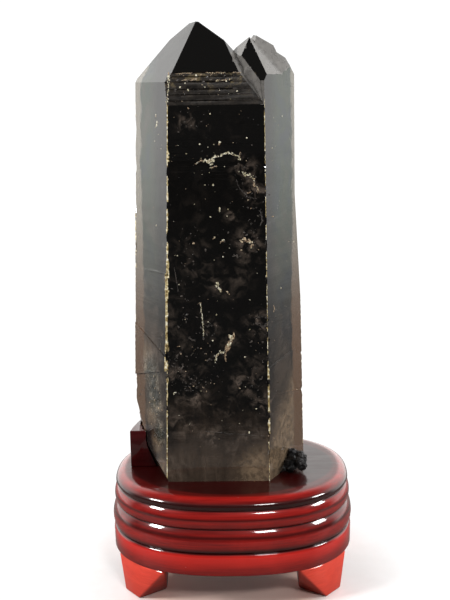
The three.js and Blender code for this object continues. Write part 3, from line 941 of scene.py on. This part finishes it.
def is_at_knobs(place):
    return place.x > KNOB_LOW_X * MM and place.z < KNOB_HIGH_Z * MM and place.y < KNOB_BACK * MM


def is_in_crust(place):
    return is_at_knobs(place) and not any(abs(n.dot(place) - d) < SAME_PLANE for n, d in planes)


print("faces swell by up to", SWELL, "mm, and crust lumps by up to", LUMP_HEIGHT, "mm")

# %% Crystal: move the vertices
SHOULDER = 229.8
ON_EDGE = 0.05 * MM
GENTLE_BEND = math.cos(math.radians(16))
KNOCK_SHARE = 0.45


def move_of(vert):
    normals = [face.normal for face in vert.link_faces]
    (first_gap, first), (second_gap, second) = nearest_planes(vert.co)
    if first_gap < ON_EDGE and second_gap < ON_EDGE and vert.co.z < SHOULDER * MM:
        width = bruise_width(first, second, vert.co.z / MM)
        inward = -(upright_planes[first][0] + upright_planes[second][0]).normalized()
        return inward * width * KNOCK_SHARE * MM
    if is_in_crust(vert.co):
        return vert.normal * LUMP_HEIGHT * noise.noise(vert.co / MM * LUMP_PITCH) * MM
    if all(normals[0].dot(n) > GENTLE_BEND for n in normals[1:]):
        fade = smooth_step(second_gap / MM / SWELL_FADE)
        return vert.normal * swelling(vert.co) * fade * MM
    return Vector()


crystal.normal_update()
moves = [(vert, move_of(vert)) for vert in crystal.verts]
for vert, move in moves:
    vert.co += move
print("furthest move in mm:", round(max(move.length for _, move in moves) / MM, 2))

# %% [markdown]
# ## The crystal: which faces get which material
# One mesh carries five materials. Each face picks its own by where it is and which way it looks:
# the steep band by its slope, the crushed rims by their distance from a long edge, the knobby crust
# by its place at the foot, the frosted faces by their place round the second point, and everything
# else is clear dark quartz.

# %% Crystal: the band and the second point
BAND_LOW, BAND_HIGH = 229.4, 243.8
BAND_SIDEWAYS, BAND_TILT = 0.15, 0.05
SECOND_POINT_X = (3.0, 34.0)
SECOND_POINT_LOW = 236.5
JUNCTION_X = 17.5
JUNCTION_LOW = 229.5
JUNCTION_FRONT, JUNCTION_BACK = -22.8, -3.0
CORNER_X = (9.2, 11.6)
CORNER_DEPTH = 166.2
SLIVER_X = 14.8
HEAD_ON = 0.9
POINT_SLOPE = math.radians(51.8)
FRONT_SLOPE = Vector((0, -math.sin(POINT_SLOPE), math.cos(POINT_SLOPE)))


def is_near_second_point(centre):
    x, y, height = centre / MM
    in_depth = JUNCTION_FRONT < y < JUNCTION_BACK
    in_junction = SECOND_POINT_X[0] < x < JUNCTION_X and height > JUNCTION_LOW and in_depth
    return in_junction or (JUNCTION_X <= x < SECOND_POINT_X[1] and height > SECOND_POINT_LOW)


def is_front_slope(face, centre):
    in_corner = CORNER_X[0] < centre.x / MM < CORNER_X[1] and FRONT_SLOPE.dot(centre) < CORNER_DEPTH * MM
    return face.normal.dot(FRONT_SLOPE) > SAME_DIRECTION and not in_corner


def is_band(face, height):
    faces_front = face.normal.y < 0 and abs(face.normal.x) < BAND_SIDEWAYS
    return faces_front and face.normal.z > BAND_TILT and BAND_LOW < height < BAND_HIGH


print("the band runs from", BAND_LOW, "to", BAND_HIGH, "mm above the table")

# %% Crystal: pick materials
NEAR_FACE = 0.4 * MM
BRUISE_TOP = SHOULDER + 2


def rises_over(face, centre, candidates):
    return [n.dot(centre) - d for n, d in candidates if face.normal.dot(n) > SAME_DIRECTION]


def is_on_broad_face(face, centre):
    return any(abs(rise) < NEAR_FACE for rise in rises_over(face, centre, planes))


def is_on_side(face, centre):
    return any(rise > -NEAR_FACE for rise in rises_over(face, centre, upright_planes))


def pick_material(face):
    centre = face.calc_center_median()
    x, height = centre.x / MM, centre.z / MM
    if is_at_knobs(centre) and not is_on_broad_face(face, centre):
        return CRUST
    slopes = is_front_slope(face, centre)
    if is_band(face, height) and not slopes:
        return BAND
    in_sliver = x > SLIVER_X and height > JUNCTION_LOW and face.normal.y < -HEAD_ON
    if not slopes and (in_sliver or (is_near_second_point(centre) and not is_on_side(face, centre))):
        return FROST
    (first_gap, first), (second_gap, second) = nearest_planes(centre)
    if height < BRUISE_TOP and second_gap / MM < bruise_width(first, second, height):
        return BRUISE
    return QUARTZ


crystal.normal_update()
counts = [0] * len(CRYSTAL_MATERIALS)
for face in crystal.faces:
    face.material_index = pick_material(face)
    counts[face.material_index] += 1
print("faces by material:", dict(zip(("quartz", "band", "bruise", "crust", "frost"), counts)))
KEEN_ANGLE = math.radians(20)
finish_piece("grown_crystal", crystal, CRYSTAL_MATERIALS, ["crystal"], KEEN_ANGLE)

# %% [markdown]
# ## Flakes, needles and specks
# Under the faces float thin healed cracks and tiny crystals that catch the light. A crack is not one
# smooth ribbon: it is a trail of splinters, each at its own angle. So each mark is a short line of
# real positions in millimetres, and small angular splinters are strewn along it from a fixed seed.
# They are squeezed flat into the face, and so they show from any side and need no picture.

# %% Material: splinters
PALE_TONES = ((0.2, 0.17, 0.09), (0.55, 0.5, 0.34), (0.95, 0.92, 0.76))
TAN_TONES = ((0.12, 0.08, 0.05), (0.34, 0.24, 0.15), (0.62, 0.5, 0.34))
GREY_TONES = ((0.01, 0.009, 0.008), (0.034, 0.029, 0.025), (0.085, 0.07, 0.06))
TONE_STEPS = (0.34, 0.5, 0.64)


def splinter_material(name, tones, scale):
    material, tree, shader, _ = new_material(name)
    grains = noise_at(tree, object_place(tree), scale, detail=3.0, rough=0.6)
    tone = colour_steps(tree, grains, list(zip(TONE_STEPS, tones)))
    join(tree, tone, shader, "Base Color")
    join(tree, smooth_range(tree, grains, 0.3, 0.7, 0.2, 0.55), shader, "Roughness")
    bump(tree, shader, grains, strength=0.5, distance=0.1)
    return material


SPLINTER_MATERIALS = [
    splinter_material("pale_splinter", PALE_TONES, 1100.0),
    splinter_material("tan_splinter", TAN_TONES, 900.0),
    splinter_material("grey_splinter", GREY_TONES, 500.0),
]
PALE, TAN, GREY = range(len(SPLINTER_MATERIALS))
print("splinter materials:", [material.name for material in SPLINTER_MATERIALS])

# %% Splinters: the faces that carry them


def plane_facing(candidates, way):
    return min(candidates, key=lambda plane: (plane[0] - Vector(way)).length)


FACES = {
    "front": min(upright_planes, key=lambda plane: plane[0].y),
    "band": plane_facing(planes, (0, -0.981, 0.196)),
    "left": plane_facing(upright_planes, (-0.866, -0.5, 0)),
    "right": plane_facing(upright_planes, (0.866, -0.5, 0)),
}


def place_on(plane, across, height):
    normal, distance = plane
    z = height * MM
    if abs(normal.y) > HEAD_ON:
        x = across * MM
        return Vector((x, (distance - normal.x * x - normal.z * z) / normal.y, z))
    y = across * MM
    return Vector(((distance - normal.y * y - normal.z * z) / normal.x, y, z))


print("faces that carry marks:", {side: round(azimuth_of(plane[0])) for side, plane in FACES.items()})

# %% Splinters: one splinter, and a trail of them
SPLINTER_DEPTH = 0.08
CORNER_JITTER = 0.16
SPACING = 0.4
SCATTER = 0.34
LEAN_SCATTER = 28
OWN_TINT_SHARE = 0.7
LONG_SPREAD, WIDE_SPREAD = (0.7, 1.7), (0.3, 0.85)
chosen = random.Random(11)


def add_splinter(bm, plane, across, height, long, wide, lean, kind):
    normal = plane[0]
    level = Vector((0, 0, 1)).cross(normal).normalized()
    turned = Matrix.Rotation(math.radians(lean), 3, normal)
    axes = Matrix((turned @ level, turned @ normal.cross(level), normal)).transposed().to_4x4()
    size = Matrix.Diagonal((long / 2 * MM, wide / 2 * MM, SPLINTER_DEPTH * MM, 1))
    spot = place_on(plane, across, height)
    place = Matrix.Translation(spot + normal * swelling(spot) * MM)
    made = bmesh.ops.create_icosphere(bm, subdivisions=1, radius=1, matrix=place @ axes @ size)
    for vert in made["verts"]:
        jitter = Vector([chosen.uniform(-1, 1) for _ in range(3)])
        vert.co += (jitter - normal * jitter.dot(normal)) * wide * CORNER_JITTER * MM
    for face in {face for vert in made["verts"] for face in vert.link_faces}:
        face.material_index = kind


def add_trail(bm, plane, points, wide, kind):
    for (x0, z0), (x1, z1) in zip(points, points[1:]):
        length = math.hypot(x1 - x0, z1 - z0)
        course = math.degrees(math.atan2(z1 - z0, x1 - x0))
        count = max(2, round(length / (wide * SPACING)))
        for step in range(count):
            share = (step + chosen.random()) / count
            x = x0 + (x1 - x0) * share + chosen.gauss(0, wide * SCATTER)
            z = z0 + (z1 - z0) * share + chosen.gauss(0, wide * SCATTER)
            own = kind == GREY or chosen.random() < OWN_TINT_SHARE
            tint = kind if own else chosen.choice((PALE, TAN, GREY))
            long = wide * chosen.uniform(*LONG_SPREAD)
            lean = course + chosen.gauss(0, LEAN_SCATTER)
            add_splinter(bm, plane, x, z, long, wide * chosen.uniform(*WIDE_SPREAD), lean, tint)


print("splinters are", SPLINTER_DEPTH, "mm deep")

# %% Splinters: the trails on the front face
FRONT_TRAILS = [
    ([(-13.2, 204.6), (-11.4, 205.6), (-9.1, 206.1)], 0.5, TAN),
    ([(-9.1, 206.1), (-6.1, 206.2), (-4.6, 207.4)], 1.3, PALE),
    ([(-8.2, 204.8), (-6.0, 205.8)], 1.7, PALE),
    ([(-4.6, 207.4), (-2.1, 208.2), (1.0, 209.5), (3.4, 208.5)], 0.95, PALE),
    ([(3.4, 208.5), (5.8, 207.2), (6.2, 205.9)], 0.8, PALE),
    ([(6.0, 207.2), (6.4, 209.4)], 0.4, TAN),
    ([(-7.0, 202.4), (-4.2, 203.4)], 0.6, TAN),
    ([(-3.0, 212.6), (-2.2, 214.4)], 0.9, PALE),
    ([(6.8, 200.2), (9.2, 199.3), (11.8, 198.0), (12.2, 196.6)], 1.0, PALE),
    ([(12.2, 196.6), (12.0, 194.6), (14.2, 193.4), (13.6, 191.4)], 0.5, TAN),
    ([(9.3, 191.2), (10.6, 192.0)], 0.8, TAN),
    ([(4.4, 197.2), (6.0, 193.0), (9.6, 189.6), (13.0, 188.8)], 0.45, GREY),
    ([(-3.3, 183.6), (-3.1, 185.4)], 1.0, PALE),
    ([(5.6, 170.2), (7.6, 170.8), (9.4, 170.4)], 1.3, TAN),
    ([(9.4, 170.4), (11.2, 169.0), (10.6, 166.0)], 1.1, TAN),
    ([(-3.6, 169.4), (-1.2, 170.2)], 0.9, TAN),
    ([(-6.2, 171.0), (-5.3, 172.4)], 0.6, TAN),
    ([(-5.4, 151.2), (-4.2, 148.8), (-3.4, 146.8)], 1.2, PALE),
    ([(-0.4, 147.2), (0.6, 145.6)], 0.8, TAN),
    ([(-12.6, 141.8), (-12.1, 136.8), (-11.7, 131.6), (-11.4, 126.4)], 0.4, PALE),
    ([(-13.6, 141.4), (-12.4, 142.0)], 0.5, TAN),
    ([(2.2, 127.4), (0.8, 124.4), (-0.6, 121.2), (-1.8, 118.6)], 2.2, TAN),
    ([(1.4, 125.4), (0.2, 122.4), (-1.2, 120.0)], 1.6, TAN),
    ([(1.8, 126.8), (0.0, 121.6)], 0.9, PALE),
    ([(-1.8, 118.6), (-2.0, 116.0), (-1.2, 114.6)], 0.7, TAN),
    ([(-1.8, 118.8), (-4.2, 119.0), (-5.8, 117.0), (-6.6, 114.4)], 0.8, PALE),
    ([(12.0, 134.8), (15.0, 135.2), (17.9, 134.6), (17.9, 130.6)], 0.6, GREY),
    ([(12.6, 132.8), (15.4, 130.8), (17.6, 131.6)], 1.4, GREY),
    ([(-26.0, 99.0), (-25.2, 100.0)], 0.9, PALE),
    ([(-24.0, 158.4), (-23.2, 153.0), (-22.5, 148.1)], 0.3, GREY),
    ([(-11.7, 81.0), (2.0, 79.4), (14.7, 78.3)], 0.22, GREY),
    ([(-19.0, 126.2), (-15.4, 124.0)], 1.0, GREY),
    ([(2.4, 163.8), (6.2, 163.0)], 0.8, GREY),
    ([(15.0, 184.0), (15.8, 179.0), (14.6, 176.6)], 0.6, GREY),
]
print("trails on the front:", len(FRONT_TRAILS))

# %% Splinters: the trails on the band and the two side faces
BAND_TRAILS = [
    ([(-23.9, 243.2), (-24.2, 239.6)], 1.5, PALE),
    ([(-24.2, 239.6), (-24.8, 235.2), (-25.0, 231.0)], 0.6, PALE),
    ([(-21.0, 243.2), (-14.0, 243.4)], 0.4, TAN),
    ([(-8.0, 243.4), (0.5, 243.3)], 0.4, TAN),
    ([(3.5, 243.4), (7.0, 243.2)], 0.45, TAN),
    ([(-18.0, 240.4), (-12.0, 240.9)], 0.6, TAN),
    ([(-4.0, 240.0), (3.0, 240.6)], 0.5, TAN),
]
LEFT_TRAILS = [
    ([(-18.6, 123.4), (-17.6, 121.0), (-17.8, 118.8)], 1.1, PALE),
    ([(-19.4, 126.4), (-18.6, 123.4)], 0.8, PALE),
    ([(-13.8, 225.2), (-12.4, 224.4)], 1.2, PALE),
    ([(-14.2, 222.6), (-13.0, 220.0)], 0.9, PALE),
]
RIGHT_TRAILS = [
    ([(-17.6, 139.0), (-17.0, 136.2)], 1.2, TAN),
    ([(-21.8, 94.4), (-17.5, 96.3), (-8.0, 95.2), (3.0, 92.6)], 0.3, TAN),
    ([(-6.6, 77.8), (-5.6, 75.4)], 1.0, PALE),
]
TRAILS = {"front": FRONT_TRAILS, "band": BAND_TRAILS, "left": LEFT_TRAILS, "right": RIGHT_TRAILS}
print("trails by face:", {side: len(trails) for side, trails in TRAILS.items()})

# %% Splinters: single specks, dust and chips
SPECKS = {
    "band": [
        (-12.3, 242.4, 0.9), (-19.4, 237.6, 0.9), (-15.9, 236.3, 1.0), (5.3, 235.5, 0.8), (0.6, 239.8, 0.7),
        (-8.6, 237.4, 0.6), (-2.2, 236.0, 0.5), (-17.2, 239.2, 0.6),
    ],
    "front": [
        (-5.8, 195.2, 1.2), (-9.4, 195.2, 0.6), (-7.3, 181.1, 0.8), (0.6, 184.3, 0.7), (0.1, 181.3, 0.5),
        (-22.4, 163.8, 0.6), (-2.0, 163.0, 0.7), (-6.0, 161.6, 0.4), (-22.0, 150.6, 0.6),
        (-5.4, 136.4, 0.9), (-9.3, 133.1, 0.6), (-7.4, 124.4, 0.9), (9.6, 129.4, 0.7), (7.2, 116.5, 0.8),
        (-13.2, 100.4, 0.6), (12.1, 91.5, 1.0), (8.7, 80.0, 1.3), (9.2, 215.4, 0.8), (-11.4, 213.0, 0.9),
        (-6.6, 226.0, 0.8), (-17.3, 209.0, 0.7), (-10.9, 206.9, 0.6),
    ],
    "left": [(-13.2, 176.2, 1.0), (-17.8, 211.0, 0.6), (-12.2, 214.0, 0.6), (-15.4, 217.2, 0.5)],
    "right": [(0.4, 165.8, 0.8), (-11.3, 146.0, 1.1), (-17.5, 210.5, 0.9), (-9.0, 224.0, 0.8)],
}
DUST_TINTS = (1, 2, 4)
DUST_FIELDS = {
    "band": {"across": (-23, 7), "heights": (231, 243), "count": 34},
    "front": {"across": (-27, 17), "heights": (62, 228), "count": 170},
    "left": {"across": (-20, 4), "heights": (75, 226), "count": 70},
    "right": {"across": (-20, -2), "heights": (75, 226), "count": 70},
}
CHIP_TINTS = {"front": (0, 1, 20), "band": (0, 1, 12), "left": (0, 3, 5), "right": (0, 3, 6)}
CHIP_FIELDS = {
    "front": [
        (-24.0, 112.0, 3.0, 4.0, 36), (-20.0, 102.0, 4.0, 4.0, 34), (-12.0, 104.0, 4.0, 3.5, 24),
        (9.0, 169.0, 3.5, 3.0, 26), (-17.0, 165.0, 4.0, 6.0, 20), (9.0, 199.0, 4.0, 5.0, 26),
        (12.0, 186.0, 3.5, 5.0, 24), (-20.0, 139.0, 3.5, 7.0, 26), (-12.0, 118.0, 5.0, 3.0, 24),
        (11.0, 103.0, 4.0, 4.0, 24), (14.0, 124.0, 2.5, 7.0, 24), (-17.0, 224.0, 4.0, 3.0, 16),
        (-8.0, 130.0, 4.0, 2.0, 18),
    ],
    "band": [(-20.0, 238.0, 3.0, 3.0, 14), (-4.0, 241.0, 7.0, 1.4, 14)],
    "left": [
        (-9.0, 109.0, 4.5, 3.5, 16), (-6.0, 98.0, 4.0, 5.0, 16), (-9.0, 88.0, 4.0, 5.0, 14),
        (-12.0, 76.0, 3.0, 5.0, 10),
    ],
    "right": [(-17.0, 84.0, 4.0, 6.0, 16), (-8.0, 92.0, 5.0, 5.0, 16)],
}
print("specks by face:", {side: len(specks) for side, specks in SPECKS.items()})

# %% Splinters: strew them, face by face
SPECK_WIDTH, DUST_WIDTH = 0.85, 0.8
CHIP_SIZES, DUST_SIZES = (0.3, 1.3), (0.18, 0.5)
CHIP_LONG, CHIP_WIDE = (0.8, 1.6), (0.3, 0.9)


def strew_chips(bm, side):
    for across, height, spread_across, spread_height, count in CHIP_FIELDS[side]:
        for _ in range(count):
            size = chosen.uniform(*CHIP_SIZES)
            spot = chosen.gauss(across, spread_across), chosen.gauss(height, spread_height)
            kind = chosen.choices((PALE, TAN, GREY), CHIP_TINTS[side])[0]
            long, lean = size * chosen.uniform(*CHIP_LONG), chosen.uniform(0, 180)
            add_splinter(bm, FACES[side], *spot, long, size * chosen.uniform(*CHIP_WIDE), lean, kind)


def strew_dust(bm, side):
    field = DUST_FIELDS[side]
    for _ in range(field["count"]):
        size = chosen.uniform(*DUST_SIZES)
        across, height = chosen.uniform(*field["across"]), chosen.uniform(*field["heights"])
        kind = chosen.choices((PALE, TAN, GREY), DUST_TINTS)[0]
        add_splinter(bm, FACES[side], across, height, size, size * DUST_WIDTH, chosen.uniform(0, 90), kind)


for side, trails in TRAILS.items():
    marks = bmesh.new()
    for points, wide, kind in trails:
        add_trail(marks, FACES[side], points, wide, kind)
    for across, height, size in SPECKS[side]:
        lean = chosen.uniform(0, 90)
        add_splinter(marks, FACES[side], across, height, size, size * SPECK_WIDTH, lean, PALE)
    strew_chips(marks, side)
    strew_dust(marks, side)
    finish_piece("splinters_" + side, marks, SPLINTER_MATERIALS)

# %% [markdown]
# ## The ground and the light
# The piece stands on a plain pale table that fades into a white room. Dark glass shows what is round
# it: its front stays black only because nothing bright stands in front, and its sides shine because
# the room behind is bright. So the room is light behind and dark in front, and a black card lies on
# the table near the camera. The camera sees a nearly white table with painted red bounce light and
# shade under the stand, and every other ray sees a darker one. Three small lamps give the lacquer
# its highlights.

# %% Flat sheets


def flat_sheet(name, half_size, segments, place=Matrix()):
    bm = bmesh.new()
    bmesh.ops.create_grid(bm, x_segments=segments, y_segments=segments, size=half_size, matrix=place)
    mesh = bpy.data.meshes.new(name)
    bm.to_mesh(mesh)
    bm.free()
    sheet = bpy.data.objects.new(name, mesh)
    bpy.context.scene.collection.objects.link(sheet)
    print(name, "is", round(2 * half_size, 1), "m wide")
    return sheet


# %% Table
FLOOR_SIZE = 6.0
SEEN_FADE = (0.064, 0.1)
LIT_FADE = (0.3, 0.9)
WARM_FADE = (0.9, 1.2)
WARM_HALF_WIDTH, WARM_HALF_DEPTH = 48.0, 52.0
# Under the stand the table's colour is painted warm, as red bounce light and shade from the stand.
RED_BOUNCE_PAPER, UNSEEN_PAPER = (0.82, 0.6, 0.52), (0.15, 0.13, 0.12)
PAPER_TONES = [(0.3, (0.92, 0.91, 0.9)), (0.7, (0.95, 0.945, 0.94))]
floor = flat_sheet("table", FLOOR_SIZE / 2, 8)
paper, paper_tree, paper_shader, paper_output = new_material("white_table")
paper_place = object_place(paper_tree)
texture = noise_at(paper_tree, paper_place, 120.0, detail=3.0)
to_oval = (1 / WARM_HALF_WIDTH / MM, 1 / WARM_HALF_DEPTH / MM, 0)
warm_reach = length_of(paper_tree, stretched(paper_tree, paper_place, to_oval))
past_warm = smooth_range(paper_tree, warm_reach, *WARM_FADE)
seen_paper = mix_colour(paper_tree, past_warm, RED_BOUNCE_PAPER, colour_steps(paper_tree, texture, PAPER_TONES))
by_camera = add_node(paper_tree, "ShaderNodeLightPath").outputs["Is Camera Ray"]
join(paper_tree, mix_colour(paper_tree, by_camera, UNSEEN_PAPER, seen_paper), paper_shader, "Base Color")
paper_shader.inputs["Roughness"].default_value = 0.6
floor.data.materials.append(paper)

# %% Table: fade into the white room
reach = length_of(paper_tree, paper_place)
seen_fade = multiply(paper_tree, smooth_range(paper_tree, reach, *SEEN_FADE), by_camera)
fade = larger(paper_tree, smooth_range(paper_tree, reach, *LIT_FADE), seen_fade)
clear = add_node(paper_tree, "ShaderNodeBsdfTransparent")
paper_or_clear = {0: fade, 1: paper_shader.outputs["BSDF"], 2: clear.outputs["BSDF"]}
faded = add_node(paper_tree, "ShaderNodeMixShader", paper_or_clear)
paper_tree.links.new(faded.outputs[0], paper_output.inputs["Surface"])
print("the table is seen up to", SEEN_FADE[1] / MM, "mm from the middle")

# %% Black card in front, seen only in reflections
CARD_START = -243
CARD_LENGTH = 2500
CARD_LIFT = 1.0
CARD_TONES = [(0.3, (0.004, 0.004, 0.004)), (0.7, (0.008, 0.008, 0.008))]
card_middle = Vector((0, (CARD_START - CARD_LENGTH / 2) * MM, CARD_LIFT * MM))
card = flat_sheet("black_card", CARD_LENGTH / 2 * MM, 1, Matrix.Translation(card_middle))
card_black, card_tree, card_shader, _ = new_material("black_card")
card_grain = noise_at(card_tree, object_place(card_tree), 9.0)
join(card_tree, colour_steps(card_tree, card_grain, CARD_TONES), card_shader, "Base Color")
card_shader.inputs["Roughness"].default_value = 0.9
card.data.materials.append(card_black)
card.visible_camera = False
card.visible_shadow = False
card.visible_diffuse = False

# %% The room as a gradient
ROOM_BRIGHT = 1.75
ROOM_DARK = 0.06
ROOM_SEEN = 1.1
ROOM_COLOUR = (1.0, 0.99, 0.97, 1)
BEHIND = (-0.05, 0.35)
LOW_DOWN = (0.85, 0.55)
ABOVE_TABLE = (-0.235, 0.0, 0.32, 0.98)
room = bpy.data.worlds.new("room")
room.use_nodes = True
room_tree = room.node_tree
room_tree.nodes.clear()
direction = add_node(room_tree, "ShaderNodeTexCoord").outputs["Generated"]
look = add_node(room_tree, "ShaderNodeSeparateXYZ", {"Vector": direction})
behind = smooth_range(room_tree, look.outputs["Y"], *BEHIND)
low_down = smooth_range(room_tree, look.outputs["Z"], *LOW_DOWN)
above_table = smooth_range(room_tree, look.outputs["Z"], *ABOVE_TABLE)
level_light = multiply(room_tree, multiply(room_tree, behind, low_down), above_table)
strength = add(room_tree, multiply(room_tree, level_light, ROOM_BRIGHT), ROOM_DARK)
lit = add_node(room_tree, "ShaderNodeBackground", {"Color": ROOM_COLOUR, "Strength": strength})
seen = add_node(room_tree, "ShaderNodeBackground", {"Color": (1, 1, 1, 1), "Strength": ROOM_SEEN})
is_seen = add_node(room_tree, "ShaderNodeLightPath").outputs["Is Camera Ray"]
both = add_node(room_tree, "ShaderNodeMixShader", {0: is_seen, 1: lit.outputs[0], 2: seen.outputs[0]})
add_node(room_tree, "ShaderNodeOutputWorld", {"Surface": both.outputs[0]})
bpy.context.scene.world = room
bpy.context.scene.view_settings.view_transform = "Standard"
print("room light behind and in front:", ROOM_BRIGHT + ROOM_DARK, ROOM_DARK)

# %% Lamps
AIM = Vector((0, 0, 0.1))
LAMPS = {
    "left_lamp": {"azimuth": 207, "rise": 34, "away": 1.3, "wide": 0.3, "tall": 0.2, "power": 15},
    "front_lamp": {"azimuth": -71, "rise": 37, "away": 1.4, "wide": 0.3, "tall": 0.16, "power": 6.5},
    "right_lamp": {"azimuth": -12, "rise": 28, "away": 1.2, "wide": 0.34, "tall": 0.24, "power": 9},
}
for name, lamp in LAMPS.items():
    turn, rise = math.radians(lamp["azimuth"]), math.radians(lamp["rise"])
    way = Vector((math.cos(turn) * math.cos(rise), math.sin(turn) * math.cos(rise), math.sin(rise)))
    light = bpy.data.lights.new(name, "AREA")
    light.shape = "RECTANGLE"
    light.size, light.size_y = lamp["wide"], lamp["tall"]
    light.energy = lamp["power"]
    light_object = bpy.data.objects.new(name, light)
    aimed = (-way).to_track_quat("-Z", "Y").to_matrix().to_4x4()
    light_object.matrix_world = Matrix.Translation(AIM + way * lamp["away"]) @ aimed
    bpy.context.scene.collection.objects.link(light_object)
print("lamps:", ", ".join(LAMPS))
